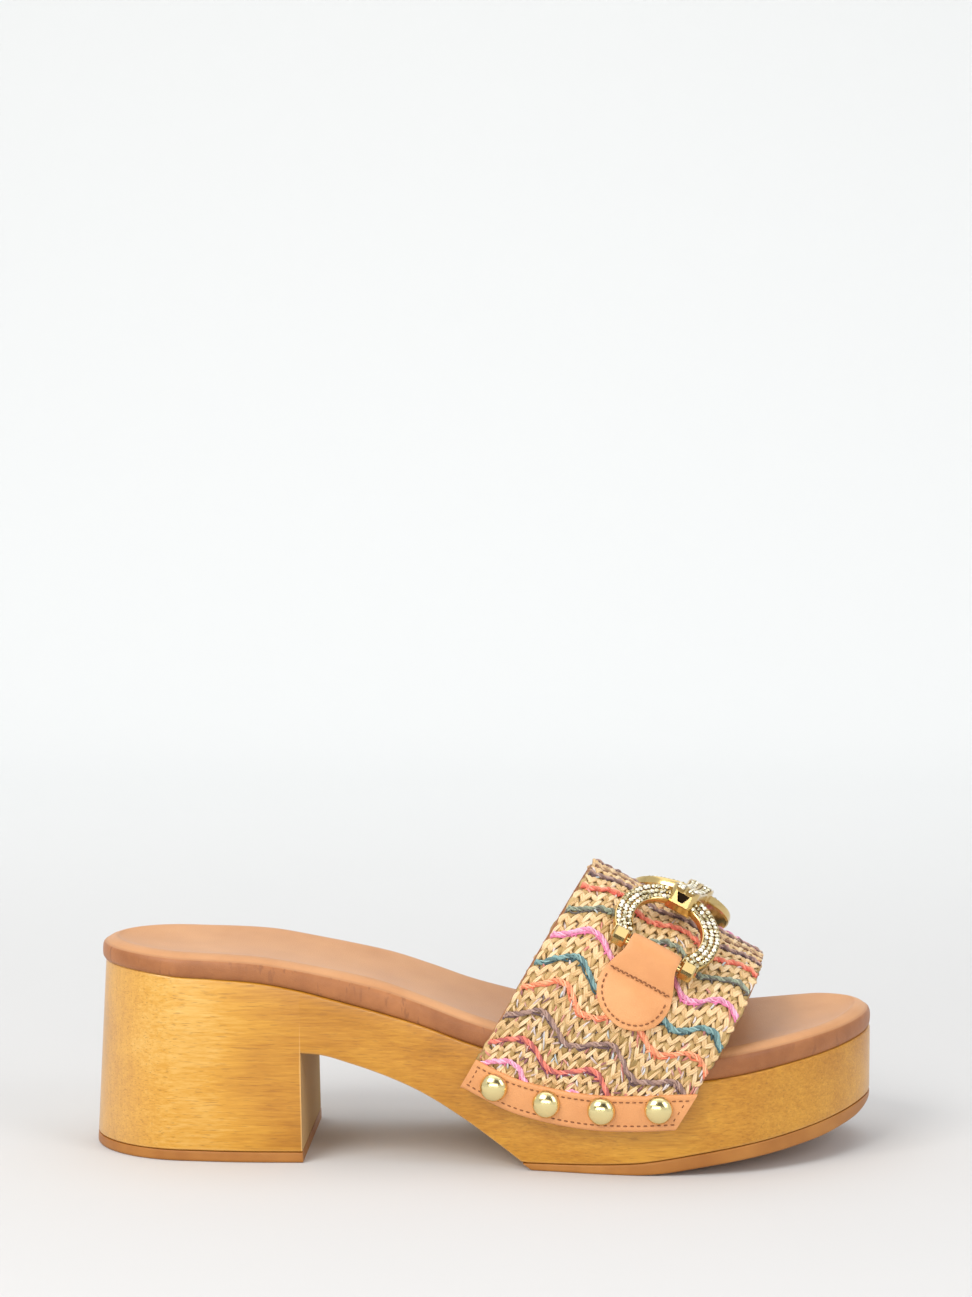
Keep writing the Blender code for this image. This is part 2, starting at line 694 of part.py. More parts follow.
def ring_sweep(name, frame, spare, finish):
    """Bar of a ring: a bevelled section carried along more than half a circle, whose ends run
    straight down to the mouth. spare makes the bar thicker all round."""
    end = math.acos(RING_MOUTH / RING_RADIUS)
    turn = np.linspace(-end, math.pi + end, 23)
    lowest = 0.1 * BLOCK_SIZE - RING_DROP
    p = np.concatenate([[RING_MOUTH], RING_RADIUS * np.cos(turn), [-RING_MOUTH]])
    q = np.concatenate([[lowest], RING_RADIUS * np.sin(turn), [lowest]])
    away = np.stack([np.gradient(q), -np.gradient(p)], axis=1)
    away[0] = (1.0, 0.0)
    away[-1] = (-1.0, 0.0)
    away /= np.linalg.norm(away, axis=1)[:, None]
    half = RING_WIDTH / 2.0 + spare
    high = RING_THICKNESS / 2.0 + spare
    bevel = 0.5 * high
    section = (
        # outwards in the ring's plane, up from it
        (-half, -high), (half, -high), (half, high - bevel), (half - bevel, high),
        (-half + bevel, high), (-half, high - bevel),
    )
    rings = [in_frame(frame, p + away[:, 0] * out, RING_DROP + q + away[:, 1] * out, up)
             for out, up in section]
    return tube_solid(name, np.stack(rings, axis=1), finish)


def block(name, frame, p, finish):
    """Bevelled block at one end of a ring."""
    half = BLOCK_SIZE / 2.0
    low = 0.1 * (RING_THICKNESS - BLOCK_THICKNESS) - RING_THICKNESS / 2.0
    high = low + BLOCK_THICKNESS
    section = (
        # up the ring, out of its plane
        (-half, low), (half, low), (half, high - BLOCK_BEVEL), (half - BLOCK_BEVEL, high),
        (-half + BLOCK_BEVEL, high), (-half, high - BLOCK_BEVEL),
    )
    rings = [[in_frame(frame, p + along, q, out) for q, out in section]
             for along in (-BLOCK_LENGTH / 2.0, BLOCK_LENGTH / 2.0)]
    return tube_solid(name, np.array(rings), finish)


def bar(name, start, end, radius, finish):
    """Round bar between two points."""
    ends = (np.array(start), np.array(end))
    length = float(np.linalg.norm(ends[1] - ends[0]))
    bpy.ops.mesh.primitive_cylinder_add(vertices=14, radius=radius, depth=length)
    made = bpy.context.active_object
    made.name = name
    for holder in list(made.users_collection):
        holder.objects.unlink(made)
    parts.objects.link(made)
    made.data.materials.append(finish)
    turn = Vector(ends[1] - ends[0]).to_track_quat("Z", "Y").to_matrix().to_4x4()
    made.data.transform(Matrix.Translation(Vector((ends[0] + ends[1]) / 2.0)) @ turn)
    made.parent = carrier
    return made


def combine(base, tools, operation):
    """Join the tools to the base, or cut them from it, and put them with the cutters."""
    for number, tool in enumerate(tools):
        change = base.modifiers.new("%s_%d" % (operation.lower(), number + 1), "BOOLEAN")
        change.operation = operation
        change.solver = "EXACT"
        change.object = tool
        tool.hide_render = True
        tool.display_type = "WIRE"
        if tool.name in parts.objects:
            parts.objects.unlink(tool)
            cutters.objects.link(tool)


def pin_ends(frame, longer=1.0):
    """Two points of the pin's axis, from block to block, or longer by a factor."""
    reach = (RING_MOUTH + 0.2 * BLOCK_LENGTH) * longer
    return in_frame(frame, -reach, 0.0, 0.0), in_frame(frame, reach, 0.0, 0.0)


def tab_height(s):
    """Lowest and highest lift of the tab at s, the distance below the pin: a roll round the
    pin that thins to the flat leather."""
    roll = PIN_RADIUS + GAP + TAB_FOLD
    round_part = np.sqrt(np.maximum(roll ** 2 - np.minimum(s, 0.0) ** 2, 0.0))
    ease = np.clip(s / (0.42 * TAB_LENGTH), 0.0, 1.0)
    ease = ease * ease * (3.0 - 2.0 * ease)
    low = (PIN_LIFT - round_part) * (1.0 - ease) + GAP * ease
    high = (PIN_LIFT + round_part) * (1.0 - ease) + (GAP + TAB_THICKNESS) * ease
    return np.maximum(low, GAP), high


def tab_half_width(s):
    """Half width of the tab at s: a strap that opens into a round disc."""
    middle = TAB_LENGTH - TAB_DISC / 2.0
    disc = np.sqrt(np.maximum((TAB_DISC / 2.0) ** 2 - (s - middle) ** 2, 0.0))
    strap = np.where(s < middle, RING_MOUTH - BLOCK_LENGTH / 2.0 - TAB_PLAY, 0.0)
    return np.maximum(np.maximum(disc, strap), TAB_TIP)


def make_tab(name, side, frame, finish):
    """Leather tab: folded round the ring's pin and laid down the band."""
    roll = PIN_RADIUS + GAP + TAB_FOLD
    turn = np.linspace(0.04, 1.0, 5)
    fold = -roll * np.cos(turn * math.pi / 2.0)
    flat = TAB_LENGTH * (1.0 - np.cos(np.linspace(0.1, 1.0, 14) * math.pi)) / 2.0
    s = np.concatenate([fold, flat])
    half = tab_half_width(s)
    bottom, top = tab_height(s)
    soft = np.minimum(TAB_EDGE, 0.3 * (top - bottom))
    lost = np.minimum(soft, 0.5 * half)
    back, front = pin_line(side)
    spread = np.linalg.norm(front - back) / (2.0 * RING_MOUTH)
    section = (
        # across, share of the softened edge that is lost, height
        (-1.0, 0.0, bottom), (-1.0, 0.0, top - soft), (-1.0, 1.0, top), (-0.4, 0.0, top),
        (0.4, 0.0, top), (1.0, 1.0, top), (1.0, 0.0, top - soft), (1.0, 0.0, bottom),
        (0.4, 0.0, bottom), (-0.4, 0.0, bottom),
    )
    rings = []
    for across, share, height in section:
        p = across * (half - share * lost) / spread + TAB_LEAN * np.maximum(s, 0.0)
        rings.append(bit_point(p, side * (PIN_SIDE + s + LIE[side][1] * p), height))
    tab = tube_solid(name, np.stack(rings, axis=1), finish)
    start, end = pin_ends(frame, 1.5)
    room = bar("pin_room_" + name, start, end, PIN_RADIUS + GAP, finish)
    combine(tab, [room], "DIFFERENCE")


def make_link(frames, cuts, finish):
    """Sleeve over the crest that holds the top of both rings."""
    tops = [in_frame(frame, 0.0, RING_DROP + RING_RADIUS, 0.0) for frame in frames]
    across = unit(tops[1] - tops[0])
    forward = unit(frames[0][1] + frames[1][1])
    forward = unit(forward - across * np.dot(forward, across))
    frame = ((tops[0] + tops[1]) / 2.0, forward, across, np.cross(forward, across))
    apart = np.linalg.norm(tops[1] - tops[0])
    reach = RING_WIDTH / 2.0 + GAP + LINK_WALL
    q = LINK[:, 0] * reach
    q = np.concatenate([q, [apart / 2.0], apart - q[::-1]]) - apart / 2.0
    top = LINK[:, 2]
    top = np.concatenate([LINK_TOP * top, [LINK_WAIST], LINK_TOP_MEDIAL * top[::-1]])
    wide = LINK[:, 1]
    wide = LINK_WIDTH / 2.0 * np.concatenate([wide, wide[-1:], wide[::-1]])
    low = 0.0 * q - LINK_BOTTOM
    section = (
        # across, how much narrower, height
        (-1.0, 0.0, low), (1.0, 0.0, low), (1.0, 0.0, top - LINK_BEVEL),
        (1.0, LINK_BEVEL, top), (-1.0, LINK_BEVEL, top), (-1.0, 0.0, top - LINK_BEVEL),
    )
    rings = [in_frame(frame, across_share * (wide - lost), q, height)
             for across_share, lost, height in section]
    link = tube_solid("bit_link", np.stack(rings, axis=1), finish)
    combine(link, cuts, "DIFFERENCE")


def make_bit():
    """Rings with their end blocks and pins, the link over the crest, and the leather tabs."""
    gold = finish_of("gold_hardware", (0.80, 0.66, 0.38), 0.22, 1.0)
    leather = finish_of("tab_leather", (0.78, 0.38, 0.15), 0.45)
    frames = []
    cuts = []
    for side, word in ((-1.0, "lateral"), (1.0, "medial")):
        frame = ring_frame(side)
        frames.append(frame)
        ring = ring_sweep("bit_ring_" + word, frame, 0.0, gold)
        tools = [block("block_%s_%d" % (word, number), frame, place, gold)
                 for number, place in enumerate((-RING_MOUTH, RING_MOUTH))]
        start, end = pin_ends(frame)
        tools.append(bar("pin_" + word, start, end, PIN_RADIUS, gold))
        combine(ring, tools, "UNION")
        cuts.append(ring_sweep("ring_room_" + word, frame, GAP, gold))
        make_tab("tab_" + word, side, frame, leather)
    make_link(frames, cuts, gold)


def settle_origin():
    """Move the carrier so that the centre of the footprint's box is the world's origin."""
    bpy.context.view_layer.update()
    seen = bpy.context.evaluated_depsgraph_get()
    corners = []
    for piece in parts.objects:
        if piece.type == "MESH":
            shown = piece.evaluated_get(seen)
            corners += [shown.matrix_world @ Vector(corner) for corner in shown.bound_box]
    corners = np.array(corners)
    middle = (corners.min(axis=0) + corners.max(axis=0)) / 2.0
    carrier.location = (-middle[0], -middle[1], 0.0)
    bpy.context.view_layer.update()


for old in list(bpy.data.objects):
    bpy.data.objects.remove(old, do_unlink=True)
parts = bpy.data.collections.new("platform_mule")
cutters = bpy.data.collections.new("cutters")
bpy.context.scene.collection.children.link(parts)
bpy.context.scene.collection.children.link(cutters)
carrier = bpy.data.objects.new("shoe_origin", None)
parts.objects.link(carrier)
LAST = band_table()

make_sole()
make_upper()
make_strips_and_studs()
make_bit()
settle_origin()
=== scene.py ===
"""Looks of the platform mule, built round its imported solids. Metres, toe along +X, floor z = 0.

Shapes are first worked out from the back of the heel, with the same named sizes as the solids,
and move to the row's frame when they become meshes.
"""

import math

import bpy
import bmesh
import numpy as np
from mathutils import Matrix, Vector


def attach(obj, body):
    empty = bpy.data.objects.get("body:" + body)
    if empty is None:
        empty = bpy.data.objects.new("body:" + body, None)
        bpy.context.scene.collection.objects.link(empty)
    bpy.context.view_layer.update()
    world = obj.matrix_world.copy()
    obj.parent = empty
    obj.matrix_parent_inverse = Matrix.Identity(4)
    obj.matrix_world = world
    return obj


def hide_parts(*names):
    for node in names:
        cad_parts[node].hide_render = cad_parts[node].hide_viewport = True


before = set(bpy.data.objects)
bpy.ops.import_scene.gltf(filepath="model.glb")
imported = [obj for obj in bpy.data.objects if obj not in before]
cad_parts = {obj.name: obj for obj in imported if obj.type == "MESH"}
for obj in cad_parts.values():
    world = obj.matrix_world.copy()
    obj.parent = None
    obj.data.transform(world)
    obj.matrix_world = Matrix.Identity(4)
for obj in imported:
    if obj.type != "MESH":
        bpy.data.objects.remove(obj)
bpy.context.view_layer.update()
rng = np.random.default_rng(38)

HEEL_BACK = np.array((0.1275, 0.0006, 0.0))
GAP = 0.0003
LENGTH = 0.255
BALL_WIDTH = 0.088
HEEL_SEAM = 0.0612
BALL_SEAM = 0.030
TOE_RISE = 0.0078
HEEL_LENGTH = 0.0710
ARCH_HEIGHT = 0.0354
FOREFOOT_START = 0.1449
TOE_SPRING = 0.0144
TOP_LIFT = 0.0035
RUBBER = 0.0045
TREAD_GAP = 0.00015
HEEL_ROUND = 0.032
TOE_ROUND = 0.020
TOE_TIP_SIDE = 0.014
END_WIDTH = 0.06
HEEL_CENTRE = 0.048
HEEL_TAPER = 0.068
FOOTBED_TAPER = 0.046
TAPER_END = 0.115
FOOTBED = 0.0090
FOOTBED_CUP = 0.0024
BAND_BACK = 0.1622
BAND_BACK_HEIGHT = 0.0905
BAND_FRONT = 0.2172
BAND_FRONT_HEIGHT = 0.0585
BAND_LEAN = math.radians(30.0)
BAND_SKEW = 0.075
BAND_POWER = 2.35
LEG_BACK_HEIGHT = 0.0500
LEG_FRONT_HEIGHT = 0.0415
BAND_DEPTH = math.hypot(BAND_FRONT - BAND_BACK, BAND_BACK_HEIGHT - BAND_FRONT_HEIGHT)
BAND_LEG = 0.070
BAND_REACH = 0.120
BAND_SPARE = 0.004
BAND_WALL = 0.0022
CORD_RELIEF = 0.0008
BAND_TOP = BAND_WALL + CORD_RELIEF
BASE_BACK = 0.1258
BASE_FRONT = 0.1934
BASE_LOW = 0.0156
BASE_RISE = 0.0116
STRIP_HEIGHT = 0.0106
STRIP_THICKNESS = 0.0015
STUD_RADIUS = 0.0045
STUD_HEIGHT = 0.0034
STUD_COUNT = 4
STUD_RIM = 0.0004
STUD_RISE = 0.0054
STUD_CLIMB = 0.0012
STUD_END = 0.0090
BIT_AT = 0.0310
RING_RADIUS = 0.0146
RING_WIDTH = 0.0060
RING_THICKNESS = 0.0030
RING_MOUTH = 0.0119
RING_DROP = 0.0124
BLOCK_SIZE = 0.0062
BLOCK_LENGTH = 0.0046
BLOCK_THICKNESS = 0.0044
PIN_RADIUS = 0.0013
PIN_LIFT = 0.0043
PIN_SIDE = 0.0418
LIE = {-1.0: (math.radians(38.0), 0.11), 1.0: (math.radians(28.0), 0.24)}
LINK_WIDTH = 0.0091
LINK_BOTTOM = 0.0041
LINK_TOP = 0.0047
LINK_TOP_MEDIAL = 0.0041
LINK_WAIST = 0.0031
LINK_WALL = 0.0013
TAB_THICKNESS = 0.0023
TAB_PLAY = 0.0011
TAB_DISC = 0.0240
TAB_LENGTH = 0.0250
TAB_FOLD = 0.0018
TAB_LEAN = 0.06

# Weave: length of a stitch along the band, the wave's length, half height and crest, how far the
# crest moves back from row to row and the rows fall to the front, and the heights of the ground's
# top and of the lining's over the last
STITCH = 0.0033
WAVE_LENGTH = 0.0234
WAVE_HEIGHT = 0.0030
WAVE_CREST = 0.0110
WAVE_LAG = 0.045
ROW_FALL = 0.065
MAT_LIFT = 0.0020
LINING_LIFT = 0.00105

# Yarns: the length of one turn of a ply and of the loose second strand, how far each winds from
# its middle, their radii, and how far strips and yarns stay from the band's front and back edge
PLY_TURN = 0.0046
PLY_SPREAD = 0.00050
PLY_RADIUS = 0.00052
LOOSE_TURN = 0.0061
LOOSE_SPREAD = 0.00028
LOOSE_RADIUS = 0.00034
BAND_MARGIN = 0.0003

# Sewing: a thread's radius, how deep its ends sink, and along the strip the length of a stitch,
# the distance from one to the next, and the distance of the seam from the strip's ends
THREAD_RADIUS = 0.00024
THREAD_SINK = 0.00025
STRIP_STITCH = 0.00125
STRIP_SEAM_PITCH = 0.00205
STRIP_SEAM_END = 0.0016

# Stones: their radius and distance on a ring, and their radius on the link
RING_STONE = 0.00083
RING_STONE_PITCH = 0.00162
LINK_STONE = 0.00072

# Seams of a tab, as distances below the pin: the pressed line under the cross seam, the middle
# of the round seam and of the swell inside it, and the radius of that seam
TAB_PRESSED = 0.0095
TAB_ROUND_SEAM = 0.0130
TAB_SWELL = 0.0145
TAB_SEAM_RADIUS = 0.0103

# Where each coloured row's first crest lies, round the last from the band's own crest
ROWS = np.array([
    # row, place
    (-11.0, 0.1011), (-8.0, 0.0720), (0.0, -0.0056), (1.0, -0.0154), (2.0, -0.0261),
    (3.0, -0.0358), (4.0, -0.0451), (5.0, -0.0537), (6.0, -0.0644), (7.0, -0.0747),
    (8.0, -0.0833), (9.0, -0.0930), (10.0, -0.1027),
])

LINK = np.array([(-1.00, 0.74, 0.60), (-0.82, 0.92, 0.86), (-0.40, 1.00, 1.00),
                 (0.40, 1.00, 1.00), (0.90, 0.96, 0.86), (1.50, 0.86, 0.72)])
PLAN = np.array([
    # at, lateral, medial
    (0.000, 0.330, 0.330), (0.118, 0.351, 0.350), (0.196, 0.366, 0.361),
    (0.294, 0.361, 0.347), (0.392, 0.364, 0.341), (0.490, 0.392, 0.358),
    (0.588, 0.443, 0.409), (0.667, 0.483, 0.460), (0.725, 0.494, 0.500),
    (0.784, 0.477, 0.506), (0.843, 0.426, 0.491), (0.902, 0.317, 0.468),
    (0.941, 0.228, 0.450), (0.980, 0.165, 0.412), (1.000, 0.140, 0.390),
])
SEAM = np.array([
    # at, heel, toe, rim
    (0.000, 1.000, 0.00, 0.80), (0.060, 0.975, 0.00, 0.82), (0.120, 0.940, 0.00, 0.86),
    (0.170, 0.925, 0.00, 0.87), (0.224, 0.895, 0.00, 0.88), (0.277, 0.819, 0.00, 0.92),
    (0.329, 0.714, 0.00, 1.02), (0.383, 0.594, 0.00, 1.08), (0.427, 0.486, 0.00, 1.02),
    (0.480, 0.335, 0.00, 1.00), (0.520, 0.238, 0.00, 1.00), (0.588, 0.098, 0.00, 1.00),
    (0.667, 0.012, 0.00, 1.00), (0.725, 0.000, 0.00, 1.00), (0.784, 0.000, 0.03, 1.00),
    (0.850, 0.000, 0.29, 0.97), (0.920, 0.000, 0.61, 0.93), (0.970, 0.000, 0.84, 0.89),
    (1.000, 0.000, 1.00, 0.87),
])
ARCH = np.array([(0.00, 1.000), (0.10, 0.982), (0.22, 0.912), (0.36, 0.812), (0.50, 0.685),
                 (0.70, 0.440), (0.85, 0.225), (1.00, 0.000)])
TREAD = np.array([
    # at, spring, thickness
    (0.00, 0.000, 0.52), (0.12, 0.000, 0.60), (0.24, 0.000, 0.74), (0.31, 0.006, 0.86),
    (0.38, 0.052, 0.97), (0.46, 0.145, 1.00), (0.60, 0.295, 1.03), (0.75, 0.450, 1.07),
    (0.90, 0.680, 1.02), (0.97, 0.850, 0.82), (1.00, 0.990, 0.50),
])
BASE = np.array([(0.00, 1.00), (0.10, 0.71), (0.21, 0.43), (0.42, 0.13), (0.62, 0.00),
                 (0.80, 0.00), (1.00, 0.06)])


def srgb(red, green, blue):
    """Linear colour of a screen colour given in steps of 255."""
    value = np.array((red, green, blue)) / 255.0
    low = value / 12.92
    high = ((value + 0.055) / 1.055) ** 2.4
    return tuple(np.where(value <= 0.04045, low, high))


# Shaders

class Value:
    """A socket with one number, on which sums and products add Math nodes."""

    def __init__(self, finish, socket):
        self.finish = finish
        self.socket = socket

    def maths(self, operation, left, right):
        return self.finish.node("Math", {"operation": operation}, n0=left, n1=right)

    def __add__(self, other):
        return self.maths("ADD", self, other)

    def __sub__(self, other):
        return self.maths("SUBTRACT", self, other)

    def __rsub__(self, other):
        return self.maths("SUBTRACT", other, self)

    def __mul__(self, other):
        return self.maths("MULTIPLY", self, other)

    __radd__ = __add__
    __rmul__ = __mul__


class Finish:
    """A material with a Principled shader, and short ways to add nodes to it."""

    def __init__(self, name, colour, roughness, metallic=0.0, **constants):
        self.material = bpy.data.materials.new(name)
        self.material.use_nodes = True
        self.tree = self.material.node_tree
        self.shader = self.tree.nodes["Principled BSDF"]
        self.set("Base Color", colour)
        self.set("Roughness", roughness)
        self.set("Metallic", metallic)
        for key, value in constants.items():
            self.set(key.replace("_", " "), value)
        self.material.diffuse_color = (*colour[:3], 1.0)

    def put(self, source, target):
        """Give an input a link or a plain value."""
        if isinstance(source, Value):
            self.tree.links.new(source.socket, target)
        elif target.type == "RGBA":
            target.default_value = (*source[:3], 1.0)
        else:
            target.default_value = source

    def set(self, name, source):
        """Give a socket of the shader itself a link or a plain value."""
        self.put(source, self.shader.inputs[name])

    def node(self, kind, settings=(), output=0, **sources):
        """Node of a kind: its settings first, then its sockets by name, or by number as n0."""
        node = self.tree.nodes.new("ShaderNode" + kind)
        for key, value in dict(settings).items():
            setattr(node, key, value)
        for key, source in sources.items():
            numbered = key[0] == "n" and key[1:].isdigit()
            self.put(source, node.inputs[int(key[1:]) if numbered else key.replace("_", " ")])
        return Value(self, node.outputs[output])

    def place(self, scale=(1.0, 1.0, 1.0), turn=(0.0, 0.0, 0.0), own=None):
        """Object coordinates, or a piece's own attribute, turned and scaled."""
        if own:
            source = self.node("Attribute", {"attribute_name": own}, "Vector")
        else:
            source = self.node("TexCoord", output="Object")
        return self.node("Mapping", Vector=source, Scale=scale, Rotation=turn)

    def grain(self, scales, detail, rough=0.55, turn=(0.0, 0.0, 0.0), own=None):
        """Noise with a scale of its own along every axis."""
        return self.noise(self.place(scales, turn, own), 1.0, detail, rough)

    def part(self, axis, space="Object"):
        """One axis of the object's coordinates, or of its normal."""
        return self.node("SeparateXYZ", output=axis, Vector=self.node("TexCoord", output=space))

    def noise(self, where, scale, detail=3.0, rough=0.55):
        """Soft noise between 0 and 1."""
        return self.node("TexNoise", Vector=where, Scale=scale, Detail=detail, Roughness=rough)

    def number(self, own):
        """A number that the piece carries at its points."""
        return self.node("Attribute", {"attribute_name": own}, "Fac")

    def ramp(self, value, *stops):
        """Colour by a number, from (place, colour) pairs."""
        made = self.node("ValToRGB", n0=value)
        elements = made.socket.node.color_ramp.elements
        while len(elements) < len(stops):
            elements.new(0.5)
        for element, (at, colour) in zip(elements, stops):
            element.position = at
            element.color = (*colour[:3], 1.0)
        return made

    def smooth(self, value, low, high):
        """0 below low, 1 above high, and a soft step between."""
        return self.node("MapRange", {"interpolation_type": "SMOOTHSTEP"},
                         n0=value, n1=low, n2=high)

    def between(self, value, low, high, end, gone):
        """Soft step up from low to high, and down again from end to gone."""
        return self.smooth(value, low, high) * (1.0 - self.smooth(value, end, gone))

    def mix(self, factor, low, high, blend="MIX"):
        """Colour between two, by a factor."""
        return self.node("Mix", {"data_type": "RGBA", "blend_type": blend}, 2,
                         n0=factor, n6=low, n7=high)

    def bump(self, height, depth, strength=1.0):
        """Small relief of the surface by a number."""
        self.set("Normal", self.node("Bump", Strength=strength, Distance=depth, Height=height))


# Meshes

def net(rows, columns, round_rows=False, round_columns=False):
    """Quads of a grid of points numbered row by row."""
    i = np.arange(rows if round_rows else rows - 1)[:, None]
    j = np.arange(columns if round_columns else columns - 1)[None, :]
    right = (j + 1) % columns
    down = (i + 1) % rows
    corners = [i * columns + j, i * columns + right, down * columns + right, down * columns + j]
    return np.stack(corners, axis=-1).reshape(-1, 4)


def add_object(name, data):
    """Object of a mesh, a lamp or a camera, linked to the scene."""
    made = bpy.data.objects.new(name, data)
    bpy.context.scene.collection.objects.link(made)
    return made


def piece(name, points, faces, finish, slot, replaces=(), sharp=35.0, **carried):
    """Object from points and arrays of faces, which rides on the shoe. What it carries are
    numbers or vectors for every point."""
    points = np.asarray(points, float).reshape(-1, 3) - HEEL_BACK
    mesh = bpy.data.meshes.new(name)
    corners = np.concatenate([face.ravel() for face in faces])
    counts = np.concatenate([np.full(len(face), face.shape[1]) for face in faces])
    mesh.vertices.add(len(points))
    mesh.vertices.foreach_set("co", points.ravel())
    mesh.loops.add(len(corners))
    mesh.loops.foreach_set("vertex_index", corners.astype(np.int32))
    mesh.polygons.add(len(counts))
    starts = np.concatenate([[0], np.cumsum(counts)[:-1]])
    mesh.polygons.foreach_set("loop_start", starts.astype(np.int32))
    mesh.update(calc_edges=True)
    for key, values in carried.items():
        flat = np.asarray(values, float).reshape(len(points), -1)
        kind, field = ("FLOAT", "value") if flat.shape[1] == 1 else ("FLOAT_VECTOR", "vector")
        mesh.attributes.new(key, kind, "POINT").data.foreach_set(field, flat.ravel())
    shape = bmesh.new()
    shape.from_mesh(mesh)
    bmesh.ops.recalc_face_normals(shape, faces=shape.faces)
    shape.to_mesh(mesh)
    shape.free()
    mesh.shade_smooth()
    if sharp:
        mesh.set_sharp_from_angle(angle=math.radians(sharp))
    mesh.materials.append(finish.material)
    made = add_object(name, mesh)
    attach(made, "root")
    if replaces:
        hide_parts(*replaces)
    return made


def ease(t):
    """Soft step between 0 and 1."""
    return t * t * (3.0 - 2.0 * t)


def run(line):
    """Length along a line of points, from its start to each of them."""
    return np.concatenate([[0.0], np.cumsum(np.linalg.norm(np.diff(line, axis=0), axis=1))])


def circle(count):
    """Even points round a circle with a radius of one."""
    turn = np.linspace(0.0, 2.0 * math.pi, count + 1)[:-1]
    return tuple((math.cos(t), math.sin(t)) for t in turn)


def unit(vectors):
    """Vectors with a length of one."""
    return vectors / np.maximum(np.linalg.norm(vectors, axis=-1, keepdims=True), 1e-12)


def strands(paths, ups, width, height, section):
    """Closed strips along paths. paths and ups are n by k points, width and height n by k
    numbers, and section m pairs, which are shares of both."""
    along = unit(np.gradient(paths, axis=1))
    side = unit(np.cross(along, ups))
    above = np.cross(side, along)
    section = np.array(section)
    points = paths[:, :, None] + side[:, :, None] * (width[..., None] * section[:, 0])[..., None]
    points = points + above[:, :, None] * (height[..., None] * section[:, 1])[..., None]
    count, steps, corners = points.shape[:3]
    body = net(steps, corners, round_columns=True)
    first = np.arange(corners)[None, :]
    last = first[:, ::-1] + (steps - 1) * corners
    skip = (np.arange(count) * steps * corners)[:, None, None]
    faces = [(body[None] + skip).reshape(-1, 4)]
    faces.append((np.concatenate([first, last])[None] + skip).reshape(-1, corners))
    return points.reshape(-1, 3), faces


def join(*shapes):
    """Points and faces of several shapes as one."""
    points = []
    faces = []
    start = 0
    for these, those in shapes:
        points.append(these.reshape(-1, 3))
        faces += [face + start for face in those]
        start += len(points[-1])
    return np.concatenate(points), faces


def tube(rings):
    """Points and faces of a closed solid through rings of points, with a flat cap at each end."""
    rows, columns = rings.shape[:2]
    first = np.arange(columns)[None, ::-1]
    last = np.arange(columns)[None, :] + (rows - 1) * columns
    return rings.reshape(-1, 3), [net(rows, columns, round_columns=True), first, last]


# The sole's form

def curve(at, table, column=1):
    """Cubic curve through a table's rows, whose slope at a row averages its neighbours."""
    stops, values = table[:, 0], table[:, column]
    slopes = np.gradient(values, stops)
    row = np.clip(np.searchsorted(stops, at) - 1, 0, len(stops) - 2)
    span = stops[row + 1] - stops[row]
    t = np.clip((at - stops[row]) / span, 0.0, 1.0)
    start = (1.0 + 2.0 * t) * (1.0 - t) ** 2 * values[row]
    leave = t * (1.0 - t) ** 2 * span * slopes[row]
    arrive = t * t * (1.0 - t) * span * slopes[row + 1]
    return start + leave - arrive + ease(t) * values[row + 1]


def plan_edges(x, inset=0.0):
    """Lateral and medial edge at x: the plan's curve, closed by an elliptic cap at each end."""
    share = np.clip(x / LENGTH, 0.0, 1.0)
    lateral = inset - BALL_WIDTH * curve(share, PLAN)
    medial = BALL_WIDTH * curve(share, PLAN, 2) - inset
    heel = np.clip((x - inset) / (HEEL_ROUND - inset), 0.0, 1.0)
    toe = np.clip((LENGTH - inset - x) / (TOE_ROUND - inset), 0.0, 1.0)
    heel_cap = np.maximum(np.sqrt(1.0 - (1.0 - heel) ** 2), END_WIDTH)
    toe_cap = np.maximum(np.sqrt(1.0 - (1.0 - toe) ** 2), END_WIDTH)
    lateral = TOE_TIP_SIDE + (lateral * heel_cap - TOE_TIP_SIDE) * toe_cap
    medial = TOE_TIP_SIDE + (medial * heel_cap - TOE_TIP_SIDE) * toe_cap
    return lateral, medial


def seam_height(x):
    """Height of the top of the wood at x."""
    share = np.clip(x / LENGTH, 0.0, 1.0)
    heel = curve(share, SEAM)
    toe = curve(share, SEAM, 2)
    return BALL_SEAM + (HEEL_SEAM - BALL_SEAM) * heel + TOE_RISE * toe


def rim_thickness(x):
    """Thickness of the footbed at its rim at x."""
    return FOOTBED * curve(np.clip(x / LENGTH, 0.0, 1.0), SEAM, 3)


def tread_share(x):
    return np.clip((x - FOREFOOT_START) / (LENGTH - FOREFOOT_START), 0.0, 1.0)


def tread_height(x):
    """Height of the underside of the forefoot: on the floor first, then the toe spring."""
    return np.maximum(TOE_SPRING * curve(tread_share(x), TREAD), 0.0)


def rubber_top(x):
    """Height of the joint between the forefoot's rubber and the wood."""
    return tread_height(x) + RUBBER * curve(tread_share(x), TREAD, 2)


def wood_underside(x, under_heel):
    """Underside of the wood: the heel's seat, then the arch, then the forefoot's joint."""
    share = np.clip((x - HEEL_LENGTH) / (FOREFOOT_START - HEEL_LENGTH), 0.0, 1.0)
    arch = ARCH_HEIGHT * curve(share, ARCH)
    return np.where(under_heel, TOP_LIFT, np.maximum(arch, rubber_top(x)))


def narrow_heel(points, taper_at_seam, by_height):
    """Scale the heel about its centre, less and less towards the floor where by_height is set."""
    fade = ease(np.clip((TAPER_END - points[..., 0]) / (TAPER_END - HEEL_LENGTH), 0.0, 1.0))
    share = points[..., 2] / HEEL_SEAM if by_height else 1.0
    scale = 1.0 - taper_at_seam * share * fade
    moved = points.copy()
    moved[..., 0] = HEEL_CENTRE + (points[..., 0] - HEEL_CENTRE) * scale
    moved[..., 1] = points[..., 1] * scale
    return moved


